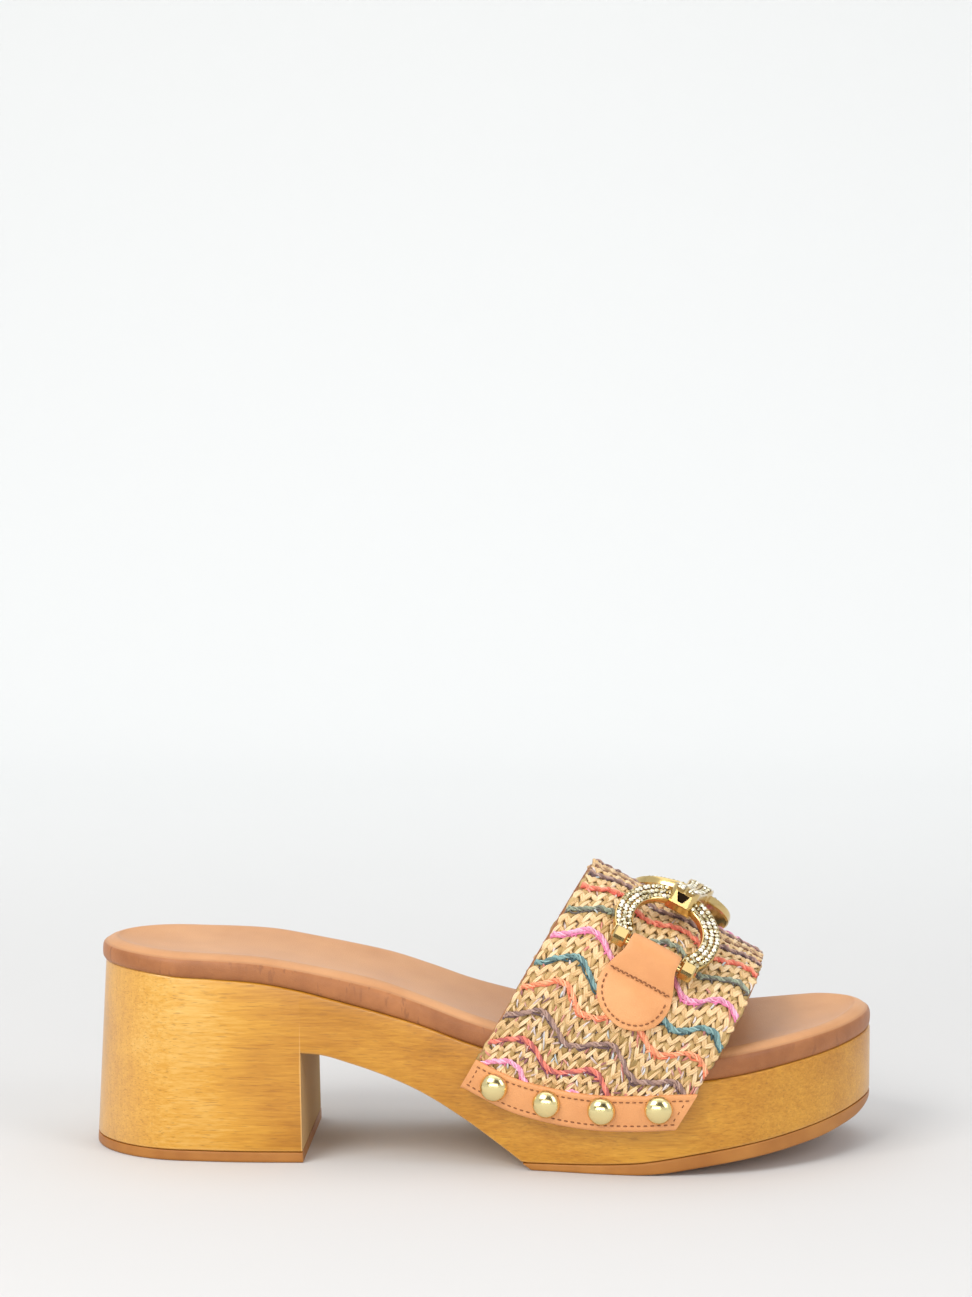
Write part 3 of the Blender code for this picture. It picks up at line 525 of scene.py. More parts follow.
def stations(start, end, count, extra=()):
    """Places along the shoe, closer together at both ends, with some extra ones."""
    even = np.linspace(0.0, 1.0, count)
    bunched = (1.0 - np.cos(even * math.pi)) / 2.0
    x = start + (end - start) * (even + 2.0 * bunched) / 3.0
    x = x[[all(abs(value - other) > 0.0005 for other in extra) for value in x]]
    return np.sort(np.concatenate([x, np.array(extra)]))


def loop(x, inset, height):
    """One loop of the plan: the lateral edge to the toe and the medial edge back."""
    heel_end = np.clip(1.0 - x / HEEL_ROUND, 0.0, 1.0)
    toe_end = np.clip(1.0 - (LENGTH - x) / TOE_ROUND, 0.0, 1.0)
    moved = x + inset * heel_end - inset * toe_end
    lateral, medial = plan_edges(moved, inset)
    out = np.stack([moved, lateral, height + 0.0 * x], axis=1)
    back = np.stack([moved, medial, height + 0.0 * x], axis=1)
    return np.concatenate([out, back[::-1]])


def plate(loops, across=2, hollow=0.0):
    """Solid between loops, lowest first, closed by rungs from edge to edge at both ends of
    the stack. The upper rungs sink by hollow in the middle."""
    loops = np.array(loops)
    levels, count = loops.shape[:2]
    half = count // 2
    walls = net(levels, count, round_columns=True)
    i = np.arange(half - 1)
    floor = np.stack([i, i + 1, count - 2 - i, count - 1 - i], axis=1)
    share = np.linspace(0.0, 1.0, across + 1)[1:-1, None, None]
    lateral = loops[-1, :half]
    medial = loops[-1, half:][::-1]
    rungs = lateral + (medial - lateral) * share
    width = np.clip((medial - lateral)[:, 1] / BALL_WIDTH / 0.5, 0.0, 1.0)
    rungs[..., 2] -= hollow * 4.0 * (share * (1.0 - share))[..., 0] * width
    top = (levels - 1) * count
    ids = np.concatenate([
        (top + np.arange(half))[None],
        levels * count + np.arange((across - 1) * half).reshape(across - 1, half),
        (top + count - 1 - np.arange(half))[None],
    ])
    cap = np.stack([ids[:-1, :-1], ids[:-1, 1:], ids[1:, 1:], ids[1:, :-1]], axis=-1)
    # the two short end walls of the top level meet the rungs' ends
    low = top - count
    keep = np.ones(len(walls), bool)
    extra = []
    for j, rung_ends in ((half - 1, ids[:, -1]), (count - 1, ids[::-1, 0])):
        keep[low + j] = False
        extra.append(np.concatenate([[low + (j + 1) % count, low + j], rung_ends])[None])
    points = np.concatenate([loops.reshape(-1, 3), rungs.reshape(-1, 3)])
    return points, [walls[keep], floor, cap.reshape(-1, 4), *extra]


def rounded(x, low, high, edge, top_edge=None):
    """Loops of a wall between two heights with both edges rounded in quarter circles."""
    top_edge = edge if top_edge is None else top_edge
    turn = np.linspace(0.0, math.pi / 2.0, 4)
    loops = [loop(x, edge * (1.0 - math.sin(t)), low + edge * (1.0 - math.cos(t))) for t in turn]
    for share in (0.25, 0.5, 0.75):
        loops.append(loop(x, 0.0, low + edge + (high - low - edge - top_edge) * share))
    loops += [loop(x, top_edge * (1.0 - math.cos(t)), high - top_edge * (1.0 - math.sin(t)))
              for t in turn]
    return loops


# The band's form

def band_table():
    """The last under the band, as points on an even grid of e and w: e along the crest, w the
    distance round the last from the crest, negative on the lateral side."""
    e = np.linspace(-BAND_SPARE, BAND_DEPTH + BAND_SPARE, 45)[:, None]
    share = e / BAND_DEPTH
    crest_x = BAND_BACK + (BAND_FRONT - BAND_BACK) * share
    crest_z = BAND_BACK_HEIGHT - (BAND_BACK_HEIGHT - BAND_FRONT_HEIGHT) * share
    leg_top = LEG_BACK_HEIGHT + (LEG_FRONT_HEIGHT - LEG_BACK_HEIGHT) * share
    arch = (crest_z - leg_top) / math.cos(BAND_LEAN)
    turn = np.linspace(-1.6, 1.6, 385)[None, :]
    angle = np.clip(np.abs(turn), 0.0, 1.0) * math.pi / 2.0
    width = np.sin(angle) ** (2.0 / BAND_POWER)
    drop = arch * (1.0 - np.cos(angle) ** (2.0 / BAND_POWER))
    drop = drop + np.maximum(np.abs(turn) - 1.0, 0.0) * BAND_LEG
    x_plain = crest_x - math.sin(BAND_LEAN) * drop
    z = crest_z - math.cos(BAND_LEAN) * drop
    y = 0.0 * x_plain
    for _ in range(3):
        lateral, medial = plan_edges(x_plain + BAND_SKEW * y)
        y = np.where(turn < 0.0, lateral - GAP, medial + GAP) * width
    points = np.stack([x_plain + BAND_SKEW * y, y, z], axis=2)
    steps = np.linalg.norm(np.diff(points, axis=1), axis=2)
    length = np.concatenate([np.zeros((len(e), 1)), np.cumsum(steps, axis=1)], axis=1)
    length = length - length[:, [length.shape[1] // 2]]
    w = np.linspace(-BAND_REACH, BAND_REACH, 361)
    even = np.empty((len(e), len(w), 3))
    floor = np.empty((len(e), 2, 2))
    base = np.clip((x_plain - BASE_BACK) / (BASE_FRONT - BASE_BACK), 0.0, 1.0)
    over = z - BASE_LOW - BASE_RISE * curve(base, BASE)
    half = over.shape[1] // 2
    for row in range(len(e)):
        for axis in range(3):
            even[row, :, axis] = np.interp(w, length[row], points[row, :, axis])
        for column, rise in enumerate((0.0, STRIP_HEIGHT)):
            level = over[row] - rise
            floor[row, column, 0] = np.interp(0.0, level[:half], length[row, :half])
            floor[row, column, 1] = np.interp(0.0, level[:half:-1], length[row, :half:-1])
    return e[:, 0], w, even, floor


LAST = band_table()


def sample(e, w):
    """Point of the last at e and w, by straight interpolation in the band's table."""
    es, ws, even, _ = LAST
    row = np.clip((e - es[0]) / (es[1] - es[0]), 0.0, len(es) - 1.001)
    col = np.clip((w - ws[0]) / (ws[1] - ws[0]), 0.0, len(ws) - 1.001)
    i = row.astype(int)
    j = col.astype(int)
    a = (row - i)[..., None]
    b = (col - j)[..., None]
    near = even[i, j] * (1.0 - b) + even[i, j + 1] * b
    far = even[i + 1, j] * (1.0 - b) + even[i + 1, j + 1] * b
    return near * (1.0 - a) + far * a


def band_normal(e, w):
    """Direction away from the last, from points a short way back, forward and to both sides."""
    reach = 0.0016
    along = sample(e + reach, w) - sample(e - reach, w)
    round_it = sample(e, w + reach) - sample(e, w - reach)
    return unit(np.cross(along, round_it))


def on_band(e, w, lift):
    """Point at a height over the last, along its normal."""
    e, w, lift = np.broadcast_arrays(e, w, lift)
    return sample(e, w) + band_normal(e, w) * lift[..., None]


def edge_w(e, column, side):
    """w of the band's lower edge (column 0) or of the strip's upper edge (column 1)."""
    return np.interp(e, LAST[0], LAST[3][:, column, side])


def crest_of(level):
    """Place along the band of a row's first crest."""
    return WAVE_CREST + WAVE_LAG * (level + 0.050)


def level_of(row):
    """Place round the last of a row's first crest."""
    return np.interp(row, ROWS[:, 0], ROWS[:, 1])


def row_w(row, e):
    """w at e of a coloured row, or of a line between two: a wave that falls to the front."""
    level = level_of(row)
    past = e - crest_of(level)
    wave = WAVE_HEIGHT * (np.cos(2.0 * math.pi * past / WAVE_LENGTH) - 1.0)
    return level + wave - ROW_FALL * np.clip(-level / 0.030, -1.0, 1.0) * past


def flank(row, e):
    """Slope of the wave there, from -1 where it falls to 1 where it rises."""
    return -np.sin(2.0 * math.pi * (e - crest_of(level_of(row))) / WAVE_LENGTH)


# Finishes

def wood_finish():
    """Honey lacquer over a calm, fine-flecked wood with end grain at the heel's round back."""
    finish = Finish("honey_wood", srgb(222, 164, 82), 0.34, Coat_Weight=0.3, Coat_Roughness=0.14)
    along = finish.part("X")
    facing = finish.part("X", "Normal")
    flecks = finish.grain((110.0, 1500.0, 1500.0), 3.0, 0.65)
    fibre = finish.grain((28.0, 700.0, 700.0), 4.0, 0.7)
    streak = finish.grain((7.0, 110.0, 110.0), 3.0, 0.6)
    cloud = finish.noise(finish.place((1.0, 1.0, 1.0)), 26.0, 2.0, 0.5)
    slant = finish.grain((900.0, 120.0, 90.0), 4.0, 0.7, (0.0, 0.75, 0.3))
    end_grain = 1.0 - finish.smooth(along, -0.121, -0.098)
    # painted highlight: the heel is lighter from its back to near its breast, where the lamp's
    # light falls on its side
    painted_heel_light = finish.between(along, -0.125, -0.100, -0.098, -0.060)
    tone = flecks * 0.40 + fibre * 0.34 + streak * 0.22 + cloud * 0.46 + painted_heel_light * 0.24 - 0.28
    tone = tone + (slant - 0.5) * end_grain * 0.42
    colour = finish.ramp(tone, (0.14, srgb(138, 86, 10)), (0.38, srgb(184, 122, 24)),
                         (0.60, srgb(211, 152, 46)), (0.92, srgb(235, 194, 112)))
    colour = finish.mix(end_grain * 0.30, colour, srgb(236, 196, 132))
    # painted shade: the heel's breast faces forward into the arch's shade, so its colour is
    # darkened
    breast = finish.smooth(facing, 0.7, 0.95) * (1.0 - finish.smooth(along, -0.050, -0.040))
    colour = finish.mix(breast * 0.9, colour, srgb(98, 62, 42))
    pores = finish.grain((170.0, 2300.0, 2300.0), 2.0, 0.5)
    colour = finish.mix(finish.smooth(pores, 0.56, 0.72) * 0.40, colour, srgb(136, 84, 20))
    colour = finish.mix(finish.number("worn") * 0.5, colour, srgb(240, 200, 134))
    finish.set("Base Color", colour)
    finish.set("Roughness", fibre * 0.16 + 0.28 + breast * 0.5)
    finish.set("Coat Weight", 0.26 - breast * 0.26)
    finish.bump(fibre * 0.5 + flecks * 0.5, 0.00010, 0.5)
    return finish


def rubber_finish():
    """Amber rubber with a slow cloud of tones."""
    finish = Finish("amber_tread", srgb(170, 108, 42), 0.42)
    cloud = finish.noise(finish.place(), 60.0, 3.0)
    finish.set("Base Color", finish.ramp(cloud, (0.3, srgb(158, 97, 34)),
                                         (0.7, srgb(182, 122, 52))))
    finish.bump(finish.noise(finish.place(), 900.0, 2.0), 0.00006, 0.5)
    return finish


def leather_finish(name, dark, light, roughness, rim=False):
    """Smooth leather: fine pores, slow changes of tone, and a browner rim where it has one."""
    finish = Finish(name, light, roughness, Sheen_Weight=0.04)
    cloud = finish.noise(finish.place(), 38.0, 4.0, 0.6)
    pores = finish.node("TexVoronoi", {"feature": "DISTANCE_TO_EDGE"},
                        Vector=finish.place(), Scale=1500.0)
    colour = finish.ramp(cloud, (0.28, dark), (0.72, light))
    if rim:
        side = finish.number("side")
        worn = finish.grain((60.0, 60.0, 60.0), 4.0, 0.6)
        wrinkles = finish.grain((420.0, 420.0, 90.0), 3.0, 0.6)
        edge = finish.smooth(side, 0.05, 0.55)
        colour = finish.mix(edge, colour, finish.ramp(worn, (0.3, srgb(142, 84, 42)),
                                                      (0.7, srgb(178, 114, 64))))
        # painted shade: short dark lines in the wrinkles of the side, where shade falls in the
        # creases
        painted_crease_shade = finish.smooth(wrinkles, 0.56, 0.64) * edge * finish.smooth(worn, 0.42, 0.62)
        colour = finish.mix(painted_crease_shade * 0.45, colour, srgb(104, 60, 36))
        # painted shade: a darker line along the crease where the side rounds over into the top
        seam = finish.between(side, 0.0, 0.12, 0.12, 0.26)
        colour = finish.mix(seam * 0.35, colour, srgb(140, 84, 50))
    finish.set("Base Color", colour)
    finish.set("Roughness", cloud * 0.16 + (roughness - 0.08))
    finish.bump(finish.smooth(pores, 0.0, 0.25) + cloud * 0.8, 0.00005, 0.6)
    return finish


def gold_finish(name, colour, roughness):
    """Polished gold, with painted shade: browner and then black where the piece says it is
    recessed.
    """
    finish = Finish(name, colour, roughness, 1.0)
    cloud = finish.noise(finish.place(), 240.0, 3.0)
    finish.set("Roughness", cloud * 0.10 + (roughness - 0.04))
    tone = finish.ramp(cloud, (0.2, tuple(0.92 * c for c in colour)), (0.8, colour))
    # painted shade in the recesses: brown in the stone channels, black inside the link's openings
    recess = finish.number("recess")
    tone = finish.mix(finish.smooth(recess, 0.0, 0.9), tone, srgb(150, 112, 52))
    finish.set("Base Color", finish.mix(finish.smooth(recess, 1.0, 1.5), tone, srgb(30, 20, 12)))
    return finish


def straw_finish(name, stops, low=0.48):
    """Straw: a tone by strip, slow spots, and fine fibres along it."""
    finish = Finish(name, stops[1][1], low, Sheen_Weight=0.03)
    fibre = finish.grain((2600.0, 160.0, 1.0), 3.0, 0.6, own="grain")
    spots = finish.noise(finish.place(), 420.0, 3.0, 0.6)
    tone = finish.number("tint") + fibre * 0.36 + spots * 0.30 - 0.33
    finish.set("Base Color", finish.ramp(tone, *stops))
    finish.set("Roughness", fibre * 0.2 + (low - 0.1))
    finish.bump(fibre, 0.00022, 0.7)
    return finish


def yarn_finish():
    """Fluffy yarn in the colour that the piece carries."""
    finish = Finish("dyed_yarn", srgb(220, 120, 90), 0.75, Sheen_Weight=0.15)
    dye = finish.node("Attribute", {"attribute_name": "dye"}, "Vector")
    fluff = finish.noise(finish.place(), 1500.0, 3.0, 0.7)
    lighter = finish.mix(fluff, (0.55, 0.55, 0.55), (1.35, 1.35, 1.35))
    finish.set("Base Color", finish.mix(1.0, dye, lighter, "MULTIPLY"))
    finish.bump(fluff, 0.0003, 0.8)
    return finish


def mat_finish():
    """Ground of the weave: khaki straw with specks of mauve, white and brown."""
    finish = Finish("weave_ground", srgb(150, 118, 74), 0.8)
    fine = finish.noise(finish.place(), 520.0, 4.0, 0.65)
    slow = finish.noise(finish.place((1.0, 1.0, 1.3)), 210.0, 3.0, 0.6)
    base = finish.ramp(fine, (0.25, srgb(142, 112, 70)), (0.5, srgb(186, 152, 100)),
                       (0.75, srgb(206, 170, 118)))
    speck = finish.ramp(slow, (0.40, srgb(150, 112, 104)), (0.56, srgb(196, 168, 168)),
                        (0.66, srgb(222, 212, 216)))
    finish.set("Base Color", finish.mix(finish.smooth(slow, 0.47, 0.60), base, speck))
    finish.bump(fine, 0.0005, 0.9)
    return finish


def crystal_finish():
    """Clear stones, whose facets run from dark to white by a painted glint."""
    finish = Finish("clear_crystal", (0.86, 0.86, 0.84), 0.08, 0.25, Coat_Weight=1.0,
                    Coat_Roughness=0.02)
    finish.set("Base Color", finish.ramp(
        finish.number("spark"), (0.10, srgb(104, 86, 44)), (0.34, srgb(178, 162, 110)),
        (0.54, srgb(228, 220, 186)), (0.80, srgb(255, 253, 247))))
    return finish


def thread_finish():
    """Brown sewing thread."""
    finish = Finish("brown_thread", srgb(130, 80, 44), 0.7)
    twist = finish.noise(finish.place(), 2200.0, 2.0)
    finish.set("Base Color", finish.ramp(twist, (0.3, srgb(112, 64, 32)),
                                         (0.7, srgb(160, 104, 62))))
    finish.bump(twist, 0.0001)
    return finish


WOOD = wood_finish()
TREADS = rubber_finish()
INSOLE = leather_finish("insole_leather", srgb(190, 132, 82), srgb(208, 153, 104), 0.44, rim=True)
STRAP = leather_finish("strap_leather", srgb(208, 138, 82), srgb(228, 162, 104), 0.44)
LINING = leather_finish("lining_leather", srgb(150, 98, 62), srgb(186, 132, 90), 0.6)
THREAD = thread_finish()
GOLD = gold_finish("pale_gold", srgb(226, 196, 132), 0.18)
STUD_GOLD = gold_finish("stud_gold", srgb(244, 226, 166), 0.20)
CRYSTAL = crystal_finish()
STRAW = straw_finish("light_straw", ((0.10, srgb(158, 120, 66)), (0.34, srgb(206, 166, 110)),
                                     (0.58, srgb(230, 194, 142)), (0.90, srgb(246, 220, 178))))
KHAKI = straw_finish("dark_straw", ((0.10, srgb(136, 108, 58)), (0.36, srgb(174, 142, 84)),
                                    (0.62, srgb(199, 165, 109)), (0.90, srgb(224, 191, 140))), 0.55)
SPECK = straw_finish("bright_speck", ((0.12, srgb(138, 96, 100)), (0.32, srgb(222, 140, 122)),
                                     (0.52, srgb(204, 178, 166)), (0.72, srgb(226, 216, 214)),
                                     (0.92, srgb(190, 200, 202))), 0.6)
YARN = yarn_finish()
MAT = mat_finish()


# Sole, treads and footbed

def make_sole():
    """Wood with rounded edges, its two rubber treads, and the padded footbed."""
    steps = (-0.0012, -0.0006, -0.00015, 0.00015, 0.0006, 0.0012)
    breast = tuple(HEEL_LENGTH + step for step in steps)
    x = stations(0.0, LENGTH, 190, breast)
    loops = rounded(x, wood_underside(x, x < HEEL_LENGTH), seam_height(x) + 0.0002, edge=0.0009)
    points, faces = plate(loops)
    # the lower rounding and both edges of the breast are worn lighter
    around = 2 * len(x)
    worn = np.zeros(len(points))
    for level, share in enumerate((1.0, 1.0, 0.6)):
        worn[level * around:(level + 1) * around] = 0.6 * share
    edge = np.isin(x, breast[2:4])
    under = points[:len(loops) * around, 2] < ARCH_HEIGHT
    worn[:len(loops) * around] += np.tile(np.concatenate([edge, edge[::-1]]), len(loops)) * under
    piece("wood_body", narrow_heel(points, HEEL_TAPER, True), faces, WOOD, "lacquered_wood",
          ["wood_sole"], sharp=28.0, worn=np.minimum(worn, 1.0))

    x = stations(0.0, HEEL_LENGTH, 70)
    points, faces = plate(rounded(x, 0.0 * x, 0.0 * x + TOP_LIFT - TREAD_GAP, edge=0.0008,
                                  top_edge=0.0002))
    piece("heel_tread", narrow_heel(points, HEEL_TAPER, True), faces, TREADS, "amber_rubber",
          ["heel_top_lift"])

    x = stations(FOREFOOT_START, LENGTH, 110)
    # the tread's back wall leans as the arch does where they meet
    slope = (ARCH[-2, 0] - ARCH[-1, 0]) * (FOREFOOT_START - HEEL_LENGTH)
    slope = slope / (ARCH_HEIGHT * ARCH[-2, 1])
    back = np.clip(1.0 - (x - FOREFOOT_START) / RUBBER, 0.0, 1.0)
    back = np.concatenate([back, back[::-1]])
    loops = rounded(x, tread_height(x), rubber_top(x) - TREAD_GAP, edge=0.0007, top_edge=0.0002)
    for ring in loops:
        ring[:, 0] += back * ring[:, 2] * slope
    piece("forefoot_tread", *plate(loops), TREADS, "amber_rubber", ["forefoot_outsole"])

    x = stations(0.0, LENGTH, 190)
    table = np.array([
        # inset, height, how much of the side's colour
        (0.0012, 0.02, 1.0), (0.0006, 0.05, 1.0), (0.0001, 0.16, 1.0), (0.0000, 0.30, 1.0),
        (0.0000, 0.46, 1.0), (0.0001, 0.60, 0.9), (0.0004, 0.71, 0.7), (0.0008, 0.775, 0.35),
        (0.0012, 0.800, 0.12), (0.0014, 0.815, 0.06), (0.0019, 0.865, 0.0), (0.0027, 0.93, 0.0),
        (0.0038, 0.98, 0.0), (0.0052, 1.01, 0.0),
    ])
    loops = [loop(x, inset, seam_height(x) + rim_thickness(x) * height)
             for inset, height, _ in table]
    points, faces = plate(loops, across=26, hollow=FOOTBED_CUP)
    side = np.zeros(len(points))
    side[:len(table) * len(loops[0])] = np.repeat(table[:, 2], len(loops[0]))
    insole = piece("padded_insole", narrow_heel(points, FOOTBED_TAPER, False), faces, INSOLE,
                   "footbed_leather", ["footbed"], sharp=0.0, side=side)


# Woven band

LEAF = ((-1.0, -0.2), (-0.80, 0.62), (-0.46, 1.0), (-0.10, 0.62), (0.0, 0.48), (0.10, 0.62),
        (0.46, 1.0), (0.80, 0.62), (1.0, -0.2), (0.0, -0.7))
FLAT = ((-1.0, -0.1), (-0.6, 0.8), (0.0, 1.0), (0.6, 0.8), (1.0, -0.1), (0.0, -0.6))
ROUND = circle(6)

# Layers of straw, each as a table of kinds of strip
LIGHT_STRIPS = (
    # from row, to row, start, end, width, on a slope, height, low, high, tone, slope's tone
    (0.26, 0.60, -0.04, 0.62, 0.00215, 0.00030, 0.00055, 0.00030, 0.00085, 0.60, -0.10),
    (0.57, 0.22, 0.56, 1.02, 0.00195, -0.00030, 0.00055, 0.00045, 0.00110, 0.62, 0.10),
    (0.66, 1.02, 0.02, 0.64, 0.00125, -0.00030, 0.00042, 0.00035, 0.00080, 0.58, -0.12),
    (1.00, 0.62, 0.60, 1.04, 0.00115, 0.00030, 0.00042, 0.00050, 0.00100, 0.60, 0.12),
)
KHAKI_STRIPS = (
    (0.46, 0.98, 0.10, 0.40, 0.00210, 0.0, 0.00040, 0.00010, 0.00050, 0.50, -0.10),
    (0.98, 0.46, 0.60, 0.92, 0.00190, 0.0, 0.00040, 0.00015, 0.00055, 0.42, 0.10),
    (-0.02, 0.44, 0.12, 0.46, 0.00190, 0.0, 0.00040, 0.00000, 0.00045, 0.44, -0.10),
    (0.40, -0.02, 0.62, 0.90, 0.00180, 0.0, 0.00040, 0.00005, 0.00050, 0.50, 0.10),
)
SPECKS = (
    (0.02, 0.26, 0.26, 0.44, 0.00080, 0.0, 0.00035, 0.00075, 0.00115, 0.50, 0.0),
    (0.12, 0.34, 0.50, 0.60, 0.00070, 0.0, 0.00035, 0.00080, 0.00120, 0.50, 0.0),
    (0.44, 0.72, 0.30, 0.44, 0.00075, 0.0, 0.00035, 0.00070, 0.00110, 0.50, 0.0),
    (0.60, 0.80, 0.70, 0.82, 0.00065, 0.0, 0.00035, 0.00070, 0.00110, 0.50, 0.0),
)


def straw_strips(kinds, rows, steps, section, spread, keep, thin):
    """Strips between neighbouring rows of a table of kinds. rows are the whole rows that the
    strips start from. A strip is a bowed line between two rows with a given section, and
    is thinner by a share in the rows far from the crest."""
    stitches = np.arange(-2, int(BAND_DEPTH / STITCH) + 3)
    row, stitch = (grid.ravel() for grid in np.meshgrid(rows, stitches, indexing="ij"))
    offset = rng.random(len(rows))[row - rows[0]] * 0.6
    parts = []
    for top, bottom, start, end, width, bias, height, low, high, tone, slope_tone in kinds:
        jitter = spread * (rng.random((6, len(row))) - 0.5)
        e0 = (stitch + offset + start) * STITCH + jitter[0] * STITCH
        e1 = (stitch + offset + end) * STITCH + jitter[1] * STITCH
        w0 = row_w(row + top, e0) + jitter[5] * 0.0012
        w1 = row_w(row + bottom, e1)
        t = np.linspace(-0.12, 1.12, steps)[None, :]
        e = e0[:, None] + (e1 - e0)[:, None] * t
        w = w0[:, None] + (w1 - w0)[:, None] * t
        e = e + 0.0005 * np.sin(math.pi * t) * jitter[2][:, None]
        middle = steps // 2
        inside = (e[:, middle] > 0.0) & (e[:, middle] < BAND_DEPTH)
        inside &= w[:, middle] > edge_w(e[:, middle], 1, 0) - 0.0012
        inside &= w[:, middle] < edge_w(e[:, middle], 1, 1) + 0.0012
        inside &= rng.random(len(row)) < keep
        e = np.clip(e, BAND_MARGIN, BAND_DEPTH - BAND_MARGIN)[inside]
        w = w[inside]
        w = np.clip(w, edge_w(e, 1, 0) - 0.0015, edge_w(e, 1, 1) + 0.0015)
        slope = flank(row, e0)[inside][:, None]
        arch = np.sin(math.pi * np.clip(t, 0.0, 1.0)) ** 0.7
        lift = MAT_LIFT + low + (high - low) * arch + 0.00035 * jitter[3][inside][:, None]
        taper = (0.55 + 0.45 * arch) * (1.0 + 0.5 * jitter[4][inside][:, None])
        far = np.clip((np.abs(row[inside] + 0.5) - 3.0) / 2.5, 0.0, 1.0)[:, None]
        half = (width + bias * slope) / 2.0 * taper * (1.0 - thin * far)
        path = on_band(e, w, lift)
        shape = strands(path, band_normal(e, w), half, height * (0.5 + 0.5 * arch) + 0.0 * half,
                        section)
        count = len(path)
        corners = len(section)
        tint = tone + slope_tone * slope + 0.34 * (rng.random((count, 1)) - 0.5)
        tint = np.repeat(np.broadcast_to(tint, (count, steps)).ravel(), corners)
        across = np.tile(np.array(section)[:, 0], count * steps) * width / 2.0
        length = np.repeat(np.broadcast_to(t * 0.005, (count, steps)).ravel(), corners)
        number = np.repeat(rng.random(count) * 40.0, steps * corners)
        grain = np.stack([across + number * 0.01, length + number * 0.02, number], axis=1)
        parts.append((shape, tint, grain))
    shapes, tints, grains = zip(*parts)
    return (*join(*shapes), np.concatenate(tints), np.concatenate(grains))


def make_straw():
    """Light zigzags over broad darker leaves, with some bright specks between them."""
    layers = (
        # name, finish, kinds, rows from and to, steps, section, spread, kept, thinner, contrast
        ("straw_zigzags", STRAW, LIGHT_STRIPS, (-11, 10), 7, LEAF, 0.24, 1.0, 0.22, 1.0),
        ("straw_leaves", KHAKI, KHAKI_STRIPS, (-11, 10), 5, FLAT, 0.40, 1.0, -0.14, 1.0),
        ("bright_specks_few", SPECK, SPECKS, (-11, 5), 4, FLAT, 0.9, 0.10, 0.0, 2.4),
        ("bright_specks_many", SPECK, SPECKS, (5, 10), 4, FLAT, 0.9, 0.50, 0.0, 2.4),
    )
    for name, finish, kinds, rows, steps, section, spread, keep, thin, contrast in layers:
        points, faces, tint, grain = straw_strips(kinds, np.arange(*rows), steps, section, spread,
                                                  keep, thin)
        piece(name, points, faces, finish, "woven_straw", sharp=0.0,
              tint=contrast * (tint - 0.5) + 0.5, grain=grain)


def yarn_colours():
    """Row, main tone and darker second tone of each yarn."""
    pink = (srgb(248, 180, 208), srgb(232, 128, 172))
    teal = (srgb(134, 172, 170), srgb(62, 92, 98))
    orange = (srgb(255, 176, 130), srgb(242, 130, 92))
    sand = (srgb(216, 182, 138), srgb(150, 110, 88))
    mauve = (srgb(178, 144, 130), srgb(106, 80, 84))
    red = (srgb(238, 132, 112), srgb(132, 62, 84))
    green = (srgb(150, 160, 138), srgb(104, 98, 92))
    coral = (srgb(246, 150, 120), srgb(226, 104, 86))
    order = [coral, pink, teal, orange, red, mauve, coral, green, pink, mauve, sand, mauve, coral,
             green, pink, teal, orange, mauve, red, pink, teal]
    return {row - 11: pair for row, pair in enumerate(order)}


def yarn(e, w, lift, turns, spread, size, phase=0.0):
    """One strand: a line along the band that winds round the yarn's middle."""
    turn = 2.0 * math.pi * (e / turns) + phase
    path = on_band(e, w + spread * np.cos(turn), lift + 0.75 * spread * np.sin(turn))[None]
    fat = np.broadcast_to(size, path.shape[:2])
    return strands(path, band_normal(e, w)[None], fat, fat, ROUND)


def make_yarns(word, rows):
    """Yarns along some rows: three twisted plies, a loose darker strand and short ends."""
    shapes = []
    dyes = []

    def keep_shape(shape, tone):
        shapes.append(shape)
        dyes.append(np.broadcast_to(np.array(tone), (len(shape[0]), 3)))

    along = np.linspace(BAND_MARGIN, BAND_DEPTH - BAND_MARGIN, 200)
    coarse = np.linspace(0.0, BAND_DEPTH, 30)
    colours = yarn_colours()
    for row in rows:
        pair = colours[row]
        wobble, loose, thick = (np.interp(along, coarse, rng.random(30) - 0.5) for _ in range(3))
        w = row_w(row, along) + 0.0009 * wobble
        inside = (w > edge_w(along, 1, 0) - 0.0008) & (w < edge_w(along, 1, 1) + 0.0008)
        if inside.sum() < 16:
            continue
        e = along[inside]
        w = w[inside]
        dip = 0.5 + 0.5 * np.cos(2.0 * math.pi * (e / STITCH + rng.random()))
        lift = MAT_LIFT + 0.00130 - 0.00040 * dip
        size = PLY_RADIUS * (1.0 + 0.5 * thick[inside])
        light = np.array(pair[0]) * (0.94 + 0.12 * rng.random())
        for ply in range(3):
            tone = (light, 0.45 * light + 0.50 * np.array(pair[1]), 1.1 * light + 0.06)[ply]
            keep_shape(yarn(e, w, lift, PLY_TURN, PLY_SPREAD, size * (1.0, 0.95, 0.6)[ply],
                            2.0 * math.pi * ply / 3.0), tone)
        second = w - 0.0009 + 0.0014 * loose[inside]
        keep_shape(yarn(e, second, lift - 0.00015, LOOSE_TURN, LOOSE_SPREAD, LOOSE_RADIUS), pair[1])
        make_ends(row, pair, keep_shape)
    piece("yarns_" + word, *join(*shapes), YARN, "woven_straw", sharp=0.0,
          dye=np.concatenate(dyes))


